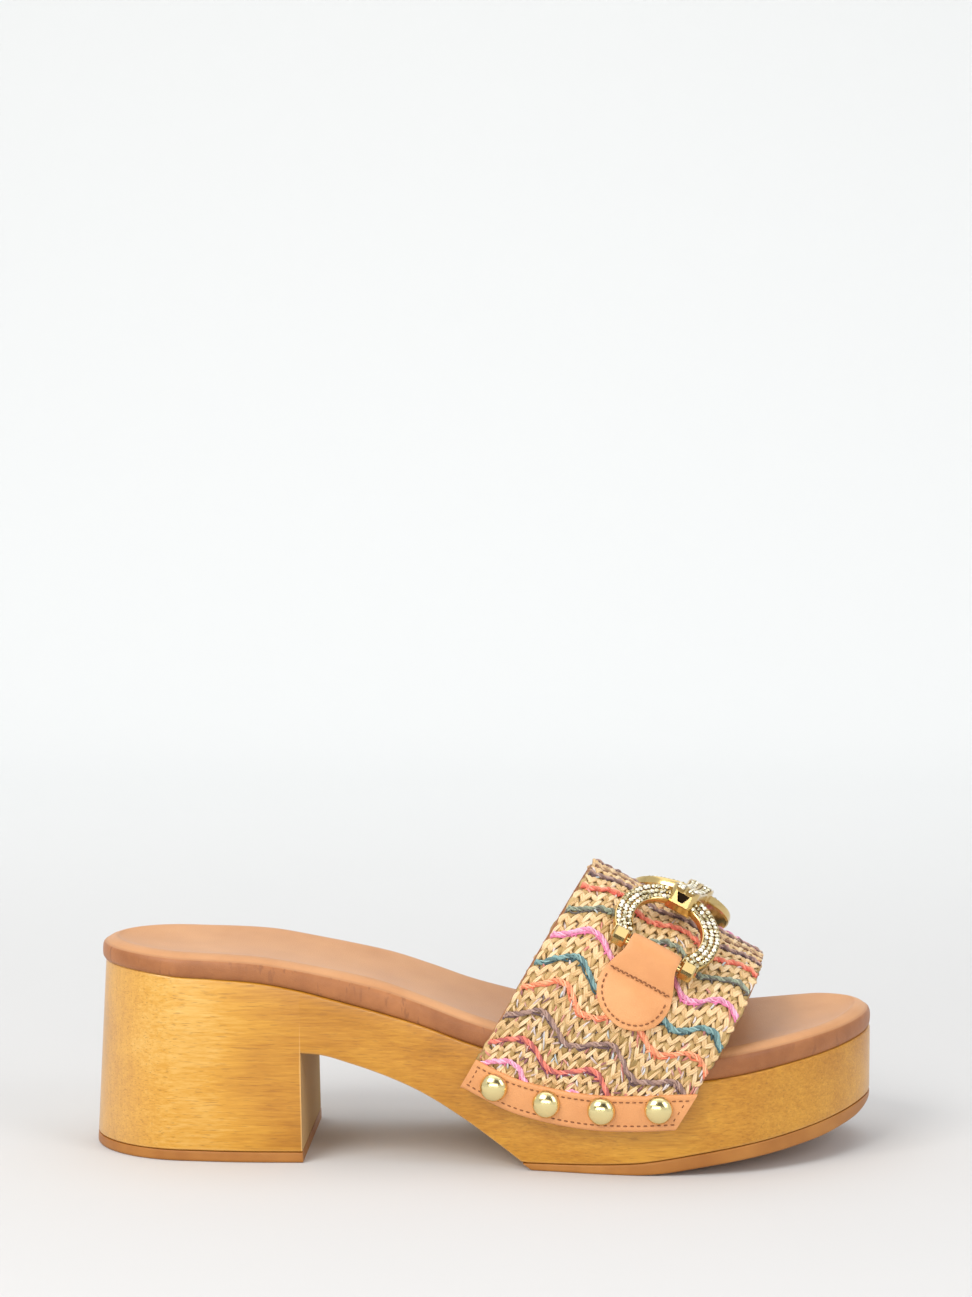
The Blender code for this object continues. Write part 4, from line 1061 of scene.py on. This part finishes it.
def make_ends(row, pair, keep_shape):
    """Short ends of a yarn that pass down into the straw below it."""
    stitch = np.arange(0.0, BAND_DEPTH, STITCH / 2.0)
    for tone, share, deep, size in ((pair[0], 0.55, 0.0018, 0.00044),
                                    (pair[1], 0.75, 0.0026, 0.00034)):
        e0 = stitch[rng.random(len(stitch)) < share]
        e0 = e0 + 0.0014 * (rng.random(len(e0)) - 0.5)
        sign = np.where(flank(row, e0) > 0.0, -1.0, 1.0)
        sign = np.where(rng.random(len(e0)) < 0.25, -sign, sign)
        lower = np.where(np.abs(flank(row, e0)) < 0.6, 1.0, 0.7)
        e1 = e0 + sign * (0.0008 + 0.0008 * rng.random(len(e0)))
        drop = deep * lower * (0.35 + 0.65 * rng.random(len(e0)))
        t = np.linspace(0.0, 1.0, 5)[None, :]
        e = np.clip(e0[:, None] + (e1 - e0)[:, None] * t, 0.0004, BAND_DEPTH - 0.0004)
        w = row_w(row, e0)[:, None] - drop[:, None] * t
        ok = (w.min(axis=1) > edge_w(e[:, 0], 1, 0)) & (w.max(axis=1) < edge_w(e[:, 0], 1, 1))
        if ok.any():
            e = e[ok]
            w = w[ok]
            rise = MAT_LIFT + 0.00095 - 0.0003 * t + 0.0003 * np.sin(math.pi * t) + 0.0 * e
            fat = size * (0.6 + 0.5 * np.sin(math.pi * t)) + 0.0 * e
            keep_shape(strands(on_band(e, w, rise), band_normal(e, w), fat, fat, ROUND), tone)


def shell(low, high, rows, columns, trim):
    """Points and faces of a layer of the band between two heights over the last, shorter by
    trim at its back and front edge."""
    e = np.linspace(trim, BAND_DEPTH - trim, rows)[:, None]
    left = edge_w(e, 0, 0)
    right = edge_w(e, 0, 1)
    w = left + (right - left) * np.linspace(0.0, 1.0, columns)[None, :]
    outer = on_band(e, w, high)
    inner = on_band(e, w, low)
    rings = np.concatenate([outer, inner[:, ::-1]], axis=1)
    size = 2 * columns
    body = net(rows, size, round_columns=True)
    j = np.arange(columns - 1)
    cap = np.stack([j, j + 1, size - 2 - j, size - 1 - j], axis=1)
    return rings.reshape(-1, 3), [body, cap[:, ::-1], cap + (rows - 1) * size]


def make_band():
    """Ground of the weave and the leather lining inside it."""
    piece("weave_ground", *shell(LINING_LIFT + 0.00005, MAT_LIFT, 90, 240, 0.0), MAT, "woven_straw",
          ["upper"])
    piece("band_lining", *shell(0.0001, LINING_LIFT, 40, 160, -0.0006), LINING, "woven_straw")
    make_straw()
    make_yarns("lateral", range(0, 10))
    make_yarns("medial", range(-11, 0))


# Leather strips, their stitches and the studs

STITCH_STEPS = np.array((-1.0, -0.6, 0.0, 0.6, 1.0))[None, :]


def stitch_points(a, b, length):
    """Both coordinates of the points of short stitches that are centred at a and b and point to
    the next one, and how far every point sinks."""
    step = unit(np.stack([np.gradient(a), np.gradient(b)], axis=-1)) * length / 2.0
    t = STITCH_STEPS
    return a[:, None] + step[:, :1] * t, b[:, None] + step[:, 1:] * t, THREAD_SINK * t ** 4


def stitch_shapes(path, above, size):
    """Round stitches along paths of five points, thinner at both ends."""
    fat = size * np.sqrt(np.maximum(1.0 - 0.75 * STITCH_STEPS ** 4, 0.1))
    fat = np.broadcast_to(fat, path.shape[:2])
    return strands(path, above, fat, fat, ROUND)


def dashes(e, w, lift, length):
    """Short stitches on the band."""
    e, w, sink = stitch_points(e, w, length)
    return stitch_shapes(on_band(e, w, lift - sink), band_normal(e, w), THREAD_RADIUS)


def strip_w(e, up, side):
    """w at a share of the strip's height, measured from the band's lower edge."""
    return edge_w(e, 0, side) * (1.0 - up) + edge_w(e, 1, side) * up


def strip_line(side, share):
    """Even places along a strip at a share of its height: e and w of every stitch."""
    e = np.linspace(0.0, BAND_DEPTH, 300)
    w = strip_w(e, share, side)
    length = run(on_band(e, w, np.array(BAND_TOP)))
    room = length[-1] - STRIP_SEAM_END - STRIP_SEAM_END
    count = int(room / STRIP_SEAM_PITCH) + 1
    places = STRIP_SEAM_END + np.arange(count) * room / (count - 1)
    return np.interp(places, length, e), np.interp(places, length, w)


def make_strips():
    """A leather strip over each lower edge of the band, with a line of stitches along each
    long edge, and the domed studs."""
    clear = BAND_TOP + 0.0001
    top = clear + STRIP_THICKNESS
    section = (
        # share of the strip's height, height over the last as a share of its thickness
        (-0.030, 0.00), (-0.035, 0.55), (-0.012, 0.88), (0.030, 1.00), (0.09, 1.03), (0.14, 0.97),
        (0.22, 1.04), (0.35, 1.08), (0.50, 1.10), (0.65, 1.08), (0.78, 1.04), (0.86, 0.97),
        (0.91, 1.03), (0.970, 1.00), (1.012, 0.88), (1.035, 0.55), (1.030, 0.00),
    )
    stitches = []
    for side, word in ((0, "lateral"), (1, "medial")):
        e = np.linspace(-0.0004, BAND_DEPTH + 0.0004, 110)[:, None]
        low = edge_w(e, 0, side)
        high = edge_w(e, 1, side)
        rings = np.stack([on_band(e, low + (high - low) * up, clear + STRIP_THICKNESS * out)[:, 0]
                          for up, out in section], axis=1)
        piece("leather_strip_" + word, *tube(rings), STRAP, "strip_leather",
              ["side_strip_" + word], sharp=50.0)
        lift = top + 0.00005
        for share in (0.15, 0.86):
            stitches.append(dashes(*strip_line(side, share), lift, STRIP_STITCH))
        for place in (STRIP_SEAM_END, BAND_DEPTH - STRIP_SEAM_END):
            se = np.full(3, place)
            sw = strip_w(se, np.array((0.30, 0.50, 0.70)), side)
            stitches.append(dashes(se, sw, lift, 0.0012))
        se = np.linspace(0.0, BAND_DEPTH, 200)
        length = run(on_band(se, strip_w(se, STUD_RISE / STRIP_HEIGHT, side), np.array(clear)))
        places = STUD_END + (length[-1] - 2.0 * STUD_END) * np.linspace(0.0, 1.0, STUD_COUNT)
        for number, place in enumerate(np.interp(places, length, se)):
            rise = STUD_RISE + STUD_CLIMB * number / (STUD_COUNT - 1.0)
            low = edge_w(place, 0, side)
            w = low + (edge_w(place, 1, side) - low) * rise / STRIP_HEIGHT
            seat = on_band(np.array(place), np.array(w), np.array(top + 0.0002))
            normal = band_normal(np.array(place), np.array(w))
            ending = "_%s_%d" % (word, number + 1)
            piece("stud_dome" + ending, *dome(seat, normal), STUD_GOLD, "gold_stud",
                  ["stud" + ending])
    piece("strip_stitches", *join(*stitches), THREAD, "strip_leather", sharp=0.0)


def dome(seat, normal):
    """Turned stud head: a thin rim, then a quarter ellipse up to its pole."""
    side = unit(np.cross(normal, np.array((1.0, 0.0, 0.2))))
    other = np.cross(normal, side)
    turn = np.linspace(0.0, math.pi / 2.0, 12)[:-1]
    radius = np.concatenate([[0.86, 0.97, 1.0], np.cos(turn[1:])]) * STUD_RADIUS
    height = STUD_RIM + (STUD_HEIGHT - STUD_RIM) * np.sin(turn[1:])
    height = np.concatenate([[-0.0002, 0.0, STUD_RIM], height])
    angle = np.linspace(0.0, 2.0 * math.pi, 41)[:-1]
    ring = side * np.cos(angle)[:, None] + other * np.sin(angle)[:, None]
    rings = seat + ring[None] * radius[:, None, None] + normal * height[:, None, None]
    return tube(rings)


# Bit: rings, link and tabs

def bit_point(p, q, lift):
    """Point over the band: p forward of the bit's line, q round it from the crest as a real
    length at the pin's height, and lift over the cords."""
    p, q, lift = np.broadcast_arrays(p, q, lift)
    w = np.linspace(-0.7 * BAND_REACH, 0.7 * BAND_REACH, 169)
    length = run(on_band(np.full_like(w, BIT_AT), w, np.full_like(w, BAND_TOP + PIN_LIFT / 2.0)))
    length = length - length[len(w) // 2]
    return on_band(BIT_AT + p, np.interp(q, length, w), BAND_TOP + lift)


def pin_line(side):
    """Two points of a pin's axis, RING_MOUTH back and forward of the bit's line."""
    turn = LIE[side][1] * RING_MOUTH
    back = bit_point(-RING_MOUTH, side * (PIN_SIDE - turn), PIN_LIFT)
    front = bit_point(RING_MOUTH, side * (PIN_SIDE + turn), PIN_LIFT)
    return back, front


def ring_frame(side):
    """Middle of a ring's pin, and the ring's directions along the pin, up the ring and out."""
    back, front = pin_line(side)
    along = unit(front - back)
    crest = unit(np.array((BAND_BACK_HEIGHT - BAND_FRONT_HEIGHT, 0.0, BAND_FRONT - BAND_BACK)))
    inward = np.array((0.0, -side, 0.0))
    up = math.cos(LIE[side][0]) * inward + math.sin(LIE[side][0]) * crest
    up = unit(up - along * np.dot(up, along))
    return (back + front) / 2.0, along, up, np.cross(along, up) * side * -1.0


def in_frame(place, p, q, out):
    """Point at p, q and out in a place of a middle and three directions."""
    middle, along, up, outward = place
    p, q, out = (np.asarray(value)[..., None] for value in np.broadcast_arrays(p, q, out))
    return middle + p * along + q * up + out * outward


def ring_line(count):
    """Centre line of a ring and its outward direction: p, q, and both parts of the direction."""
    end = math.acos(RING_MOUTH / RING_RADIUS)
    turn = np.linspace(-end, math.pi + end, count)
    lowest = 0.1 * BLOCK_SIZE - RING_DROP
    down = np.linspace(lowest, RING_RADIUS * math.sin(-end), 5)[:-1]
    mouth = np.full(4, RING_MOUTH)
    p = np.concatenate([mouth, RING_RADIUS * np.cos(turn), -mouth])
    q = np.concatenate([down, RING_RADIUS * np.sin(turn), down[::-1]])
    away = unit(np.stack([np.gradient(q), -np.gradient(p)], axis=1))
    return p, RING_DROP + q, away


def gems(places, sides, others, ups, radius):
    """Cut stones: eight-sided, with a flat table and a slanting crown. Arrays of n vectors."""
    corners = 8
    angle = np.linspace(0.0, 2.0 * math.pi, corners + 1)[None, :-1, None]
    level = np.array([(0.55, -0.35), (1.0, 0.0), (0.96, 0.14), (0.52, 0.52)])
    ring = sides[:, None] * np.cos(angle) + others[:, None] * np.sin(angle)
    points = (places[:, None, None] + ring[:, None] * (level[:, 0] * radius)[None, :, None, None]
              + ups[:, None, None] * (level[:, 1] * radius)[None, :, None, None])
    count = len(places)
    body = net(len(level), corners, round_columns=True)
    skip = (np.arange(count) * len(level) * corners)[:, None, None]
    floor = np.arange(corners)
    caps = np.stack([floor[::-1], floor + (len(level) - 1) * corners])
    faces = [(body[None] + skip).reshape(-1, 4), (caps[None] + skip).reshape(-1, corners)]
    # every facet has its own points, so that it can carry its own painted glint
    flat = points.reshape(-1, 3)
    parts = []
    made = []
    spark = []
    start = 0
    stone = rng.random(count)
    for face in faces:
        parts.append(flat[face].reshape(-1, 3))
        made.append((np.arange(face.size) + start).reshape(face.shape))
        facet = 0.5 * rng.random(len(face)) + 0.5 * np.repeat(stone, len(face) // count)
        spark.append(np.repeat(facet, face.shape[1]))
        start += face.size
    return (np.concatenate(parts), made), np.concatenate(spark)


def make_rings():
    """Rings with a rounded gold bar, three rows of stones on the face, end blocks and pins."""
    stones = []
    sparks = []
    half = RING_WIDTH / 2.0
    high = RING_THICKNESS / 2.0
    section = np.array((
        # outwards in the ring's plane, up from it
        (-0.80, -1.0), (0.80, -1.0), (0.97, -0.72), (1.0, -0.2), (1.0, 0.55), (0.96, 0.85),
        (0.86, 0.98), (0.80, 0.80), (-0.80, 0.80), (-0.86, 0.98), (-0.96, 0.85), (-1.0, 0.55),
        (-1.0, -0.2), (-0.97, -0.72),
    )) * (half, high)
    for side, word in ((-1.0, "lateral"), (1.0, "medial")):
        here = ring_frame(side)
        _, along, across, outward = here
        p, q, away = ring_line(72)
        rings = np.stack([in_frame(here, p + away[:, 0] * out, q + away[:, 1] * out, up)
                          for out, up in section], axis=1)
        a, b = (in_frame(here, place, 0.0, 0.0) for place in (-RING_MOUTH, RING_MOUTH))
        pin = (a + (b - a) * np.linspace(0.0, 1.0, 4)[:, None])[None]
        size = np.full((1, 4), PIN_RADIUS)
        points, faces = join(tube(rings), block(here, -RING_MOUTH), block(here, RING_MOUTH),
                             strands(pin, np.broadcast_to(outward, pin.shape), size, size,
                                     circle(16)))
        # painted shade: the floor of the stone channel between the rims is marked to be browned
        recess = np.zeros(len(points))
        recess[:rings.shape[0] * len(section)] = np.tile(np.abs(section[:, 1] / high - 0.80) < 0.01,
                                                         rings.shape[0])
        piece("gold_ring_" + word, points, faces, GOLD, "gold_hardware", ["bit_ring_" + word],
              sharp=32.0, recess=recess)
        length = run(np.stack([p, q], axis=1))
        for out in (-0.59, 0.0, 0.59):
            count = int((length[-1] + out * half * 3.7) / RING_STONE_PITCH)
            at = 0.0022 + (length[-1] - 0.0044) * (np.arange(count) + 0.5) / count
            pp = np.interp(at, length, p)
            qq = np.interp(at, length, q)
            aa = unit(np.stack([np.interp(at, length, away[:, 0]),
                                np.interp(at, length, away[:, 1])], axis=1))
            jitter = 0.00026 * (rng.random((2, count)) - 0.5)
            # no stone where the link covers the ring
            bare = (np.abs(pp) > 0.46 * LINK_WIDTH) | (qq < RING_DROP)
            pp, qq, aa, jitter = pp[bare], qq[bare], aa[bare], jitter[:, bare]
            places = in_frame(here, pp + aa[:, 0] * out * half + jitter[0],
                              qq + aa[:, 1] * out * half + jitter[1], np.full(len(pp), 0.97 * high))
            sides = aa[:, :1] * along + aa[:, 1:] * across
            ups = unit(outward + 0.5 * (rng.random(places.shape) - 0.5))
            shape, spark = gems(places, sides, np.cross(ups, sides), ups, RING_STONE)
            stones.append(shape)
            sparks.append(spark)
    more, spark = make_link()
    piece("set_stones", *join(*stones, more), CRYSTAL, "gold_hardware", sharp=5.0,
          spark=np.concatenate([*sparks, spark]))


def block(here, p):
    """Block at an end of a ring, with bevelled edges, and a smaller step towards the pin."""
    half = BLOCK_SIZE / 2.0
    low = 0.1 * (RING_THICKNESS - BLOCK_THICKNESS) - RING_THICKNESS / 2.0
    high = low + BLOCK_THICKNESS
    middle = (low + high) / 2.0
    tall = (high - low) / 2.0
    flat = 1.0 - 0.34
    outline = np.array(((-1.0, -flat), (-flat, -1.0), (flat, -1.0), (1.0, -flat),
                        (1.0, flat), (flat, 1.0), (-flat, 1.0), (-1.0, flat)))
    ends = np.array(((-1.0, 0.72), (-0.78, 0.92), (0.78, 0.92), (1.0, 0.72)))
    rings = np.stack([in_frame(here, np.full(8, p + at * BLOCK_LENGTH / 2.0),
                               outline[:, 0] * half * size,
                               middle + outline[:, 1] * tall * size) for at, size in ends])
    return tube(rings)


def make_link():
    """Sleeve over the crest that holds the top of both rings, with two bands of stones."""
    frames = [ring_frame(side) for side in (-1.0, 1.0)]
    tops = [in_frame(f, 0.0, RING_DROP + RING_RADIUS, 0.0) for f in frames]
    across = unit(tops[1] - tops[0])
    forward = unit(frames[0][1] + frames[1][1])
    forward = unit(forward - across * np.dot(forward, across))
    outward = np.cross(forward, across)
    here = ((tops[0] + tops[1]) / 2.0, forward, across, outward)
    apart = np.linalg.norm(tops[1] - tops[0])
    reach = RING_WIDTH / 2.0 + GAP + LINK_WALL
    q = LINK[:, 0] * reach
    q = np.concatenate([q, [apart / 2.0], apart - q[::-1]]) - apart / 2.0
    top = LINK[:, 2]
    top = np.concatenate([LINK_TOP * top, [LINK_WAIST], LINK_TOP_MEDIAL * top[::-1]])
    wide = LINK_WIDTH / 2.0 * np.concatenate([LINK[:, 1], LINK[-1:, 1], LINK[::-1, 1]])
    fine = np.linspace(q[0], q[-1], 60)
    top = np.interp(fine, q, top)
    wide = np.interp(fine, q, wide)
    near = np.minimum(fine - fine[0], fine[-1] - fine) / (1.6 * reach)
    ends = ease(np.clip(near / 0.38, 0.0, 1.0))
    wide = wide * (0.86 + 0.14 * ends)
    low = -LINK_BOTTOM * (0.34 + 0.66 * ends)
    section = (
        # across, from the bottom to the top
        (-1.0, 0.0), (1.0, 0.0), (1.0, 0.80), (0.97, 0.93), (0.90, 0.99), (0.82, 0.95),
        (0.14, 0.95), (0.10, 1.02), (-0.10, 1.02), (-0.14, 0.95), (-0.82, 0.95), (-0.90, 0.99),
        (-0.97, 0.93), (-1.0, 0.80),
    )
    rings = np.stack([in_frame(here, share * wide, fine, low + (top - low) * height)
                      for share, height in section], axis=1)
    hollow = []
    for ring, inward in ((rings[0], 1.0), (rings[-1], -1.0)):
        middle = ring.mean(axis=0)
        inner = middle + (ring - middle) * 0.74
        # the opening narrows to a rounded point below
        inner[:2] = inner[:2] * 0.4 + inner[:2].mean(axis=0) * 0.6
        step = across * inward
        hollow.append((inner, middle + (inner - middle) * 0.9 + 0.0022 * step))
    rings = np.concatenate([[hollow[0][1], hollow[0][0]], rings, [hollow[1][0], hollow[1][1]]])
    # painted shade: black inside both openings, browner in the channels of the stones
    recess = np.zeros(rings.shape[:2])
    recess[[0, -1]] = 1.6
    recess[1:-1, [5, 6, 9, 10]] = 0.6
    piece("gold_link", *tube(rings), GOLD, "gold_hardware", ["bit_link"], sharp=32.0,
          recess=recess.ravel())
    slope = np.gradient(top, fine)
    places = []
    ups = []
    for share in (-0.62, -0.34, 0.34, 0.62):
        at = np.linspace(fine[0] + 0.0012, fine[-1] - 0.0012, 22)
        height = np.interp(at, fine, low + (top - low) * 0.96) + 0.0001
        places.append(in_frame(here, share * np.interp(at, fine, wide), at, height))
        tilt = np.interp(at, fine, slope)[:, None]
        ups.append(unit(outward - tilt * across))
    places = np.concatenate(places)
    ups = np.concatenate(ups)
    sides = np.broadcast_to(forward, places.shape)
    return gems(places, sides, np.cross(ups, sides), ups, LINK_STONE)


def tab_height(s):
    """Lowest and highest lift of the tab at s, the distance below the pin."""
    roll = PIN_RADIUS + GAP + TAB_FOLD
    round_part = np.sqrt(np.maximum(roll ** 2 - np.minimum(s, 0.0) ** 2, 0.0))
    flat = ease(np.clip(s / (0.42 * TAB_LENGTH), 0.0, 1.0))
    low = (PIN_LIFT - round_part) * (1.0 - flat) + 0.0001 * flat
    high = (PIN_LIFT + round_part) * (1.0 - flat) + (0.0001 + TAB_THICKNESS) * flat
    return np.maximum(low, 0.0001), high


def tab_half_width(s):
    """Half width of the tab at s: a strap that opens into a round disc."""
    middle = TAB_LENGTH - TAB_DISC / 2.0
    disc = np.sqrt(np.maximum((TAB_DISC / 2.0) ** 2 - (s - middle) ** 2, 0.0))
    strap = np.where(s < middle, RING_MOUTH - BLOCK_LENGTH / 2.0 - TAB_PLAY, 0.0)
    # soft maximum, so that the strap flows into the disc
    return (disc ** 8 + strap ** 8) ** 0.125


def tab_swell(s, p):
    """Share of the swelling of the disc at s and p across it."""
    return np.exp(-((s - TAB_SWELL) / 0.0035) ** 2 - (p / 0.0065) ** 2)


def make_tabs():
    """Leather tabs: folded round a ring's pin, laid down the band and sewn to it."""
    stitches = []
    # round the tab's section: across it, from its lower face to its upper one, and set in
    across = np.concatenate([[-1.0] * 3, np.linspace(-1.0, 1.0, 25), [1.0] * 3, [0.5, 0.0, -0.5]])
    level = np.concatenate([[0.0, 0.25, 0.7], np.ones(25), [0.7, 0.25, 0.0], [0.0] * 3])
    inset = np.zeros(len(across))
    inset[[2, 28]] = 0.00005
    roll = PIN_RADIUS + GAP + TAB_FOLD
    fold = -roll * np.cos(np.linspace(0.04, 1.0, 14) * math.pi / 2.0)
    flat = TAB_LENGTH * (1.0 - np.cos(np.linspace(0.06, 0.992, 46) * math.pi)) / 2.0
    s = np.concatenate([fold, flat])[:, None]
    width = tab_half_width(s) * across - np.sign(across) * inset
    soft = 0.0005 * (np.abs(across) ** 10) * (level > 0.9)
    # the cross seam presses the leather down, and the disc below it swells
    pressed = np.exp(-((s - TAB_PRESSED) / 0.0008) ** 2) * 0.00035
    from_seam = np.hypot(width, np.maximum(s - TAB_ROUND_SEAM, 0.0)) - TAB_SEAM_RADIUS - 0.0001
    groove = 0.00018 * np.exp(-(from_seam / 0.0005) ** 2) * (s > TAB_PRESSED)
    relief = (0.0007 * tab_swell(s, width) - pressed - groove) * (level > 0.9)
    bottom, top = tab_height(s)
    height = bottom + (top - bottom) * level - soft + relief
    for side, word in ((-1.0, "lateral"), (1.0, "medial")):
        back, front = pin_line(side)
        spread = np.linalg.norm(front - back) / (2.0 * RING_MOUTH)

        def on_tab(pw, sw, lift):
            """Point at pw across the leaning tab and sw below the pin."""
            p = pw / spread + TAB_LEAN * np.maximum(sw, 0.0)
            return bit_point(p, side * (PIN_SIDE + sw + LIE[side][1] * p), lift)

        def seam(pw, sw, size, length):
            """Stitches at points of the tab, each pointing to the next."""
            pw, sw, sink = stitch_points(pw, sw, length)
            lift = tab_height(sw)[1] + 0.00005 - sink + 0.0005 * tab_swell(sw, pw)
            path = on_tab(pw, sw, lift)
            above = on_tab(pw, sw, lift + 0.001) - path
            stitches.append(stitch_shapes(path, unit(above), size))

        piece("leather_tab_" + word, *tube(on_tab(width, s, height)), STRAP, "tab_leather",
              ["tab_" + word], sharp=50.0)
        turn = np.linspace(-0.05, math.pi + 0.05, 18)
        seam(-TAB_SEAM_RADIUS * np.cos(turn), TAB_ROUND_SEAM + TAB_SEAM_RADIUS * np.sin(turn),
             0.00025, 0.0012)
        line = np.linspace(-0.0098, 0.0098, 13)
        cross = 0.0091 + 0.00005 * (-1.0) ** np.arange(len(line))
        seam(line, cross, THREAD_RADIUS, 0.0011)
        seam(line[:-1] + 0.0008, cross[1:] + 0.00045, 0.00022, 0.0008)
    piece("tab_stitches", *join(*stitches), THREAD, "tab_leather", sharp=0.0)


# Stage

LAMPS = (
    # name, place, aim, width and height, power, tone
    ("key", (-0.75, -0.95, 1.15), (0.0, 0.0, 0.03), (0.9, 0.7), 15.6, (1.0, 0.98, 0.95)),
    ("fill", (0.95, -0.75, 0.75), (0.02, 0.0, 0.03), (0.5, 0.8), 5.0, (0.97, 0.98, 1.0)),
    ("front", (-0.25, -1.30, 0.34), (0.0, 0.0, 0.04), (1.2, 0.22), 4.6, (1.0, 0.97, 0.92)),
    ("overhead", (0.0, 0.15, 1.35), (0.0, 0.0, 0.0), (1.6, 1.2), 5.0, (1.0, 1.0, 1.0)),
)

# The photo's camera: place from the heel's back, turn and pitch in degrees, and its focal length
# and the longer side of its picture in points
CAMERA_PLACE = (0.1766, -1.0498, 0.2613)
CAMERA_TURN = 2.63
CAMERA_PITCH = 5.33
FOCAL_POINTS = 3244.0
PICTURE_POINTS = 1297.0
SENSOR = 36.0


def sheet(name, x, y, z, finish, flip=False):
    """Smooth sheet of the stage through a grid of points."""
    grid = np.stack(np.broadcast_arrays(x, y, z), axis=2)
    faces = net(*grid.shape[:2])
    if flip:
        faces = faces[:, ::-1]
    mesh = bpy.data.meshes.new(name)
    mesh.from_pydata(grid.reshape(-1, 3).tolist(), [], faces.tolist())
    mesh.shade_smooth()
    mesh.materials.append(finish.material)
    add_object(name, mesh)


def make_stage():
    """Pale sweep that curves up behind the shoe, dark curtain, soft lamps and the camera."""
    pale = Finish("pale_paper", srgb(240, 238, 236), 0.9)
    grain = pale.noise(pale.place(), 4.0, 2.0)
    back = pale.part("Y")
    floor = pale.ramp(grain, (0.2, srgb(208, 207, 206)), (0.8, srgb(210, 209, 208)))
    pale.set("Base Color", pale.mix(pale.smooth(back, 0.0, 1.1), floor, srgb(243, 244, 243)))
    turn = np.linspace(0.0, math.pi / 2.0, 24)
    y = np.concatenate([[-5.0, 0.3], 0.9 + 0.6 * np.sin(turn), [1.5]])[:, None]
    z = np.concatenate([[0.0, 0.0], 0.6 * (1.0 - np.cos(turn)), [2.4]])[:, None]
    sheet("sweep", np.linspace(-5.0, 5.0, 3), y, z, pale)

    dark = Finish("dark_cloth", (0.03, 0.028, 0.025), 0.9)
    weave = dark.noise(dark.place(), 30.0, 2.0)
    dark.set("Base Color", dark.ramp(weave, (0.3, (0.02, 0.018, 0.016)),
                                     (0.7, (0.045, 0.04, 0.035))))
    turn = np.linspace(-1.0, 1.0, 17)
    z = np.array((0.40, 0.8, 1.3, 1.9))[:, None]
    sheet("curtain", 1.5 * np.sin(turn), -1.45 * np.cos(turn * 0.8), z, dark, flip=True)

    for name, place, aim, (width, height), power, tone in LAMPS:
        data = bpy.data.lights.new(name, "AREA")
        data.shape = "RECTANGLE"
        data.size = width
        data.size_y = height
        data.energy = power
        data.color = tone
        lamp = add_object(name, data)
        lamp.location = place
        lamp.rotation_mode = "QUATERNION"
        lamp.rotation_quaternion = (Vector(aim) - Vector(place)).to_track_quat("-Z", "Y")

    world = bpy.data.worlds.new("studio")
    world.use_nodes = True
    light = world.node_tree.nodes["Background"]
    light.inputs["Color"].default_value = (0.95, 0.97, 1.0, 1.0)
    light.inputs["Strength"].default_value = 0.75
    bpy.context.scene.world = world
    bpy.context.scene.view_settings.view_transform = "Standard"

    data = bpy.data.cameras.new("camera")
    data.lens = FOCAL_POINTS * SENSOR / PICTURE_POINTS
    data.sensor_width = SENSOR
    data.clip_start = 0.05
    turn, pitch = math.radians(CAMERA_TURN), math.radians(CAMERA_PITCH)
    level = math.cos(pitch)
    ahead = Vector((-math.sin(turn) * level, math.cos(turn) * level, -math.sin(pitch)))
    right = Vector((math.cos(turn), math.sin(turn), 0.0))
    matrix = Matrix((right, right.cross(ahead), -ahead)).transposed().to_4x4()
    matrix.translation = Vector(CAMERA_PLACE) - Vector(HEEL_BACK)
    camera = add_object("camera", data)
    camera.matrix_world = matrix
    bpy.context.scene.camera = camera


make_sole()
make_band()
make_strips()
make_rings()
make_tabs()
make_stage()
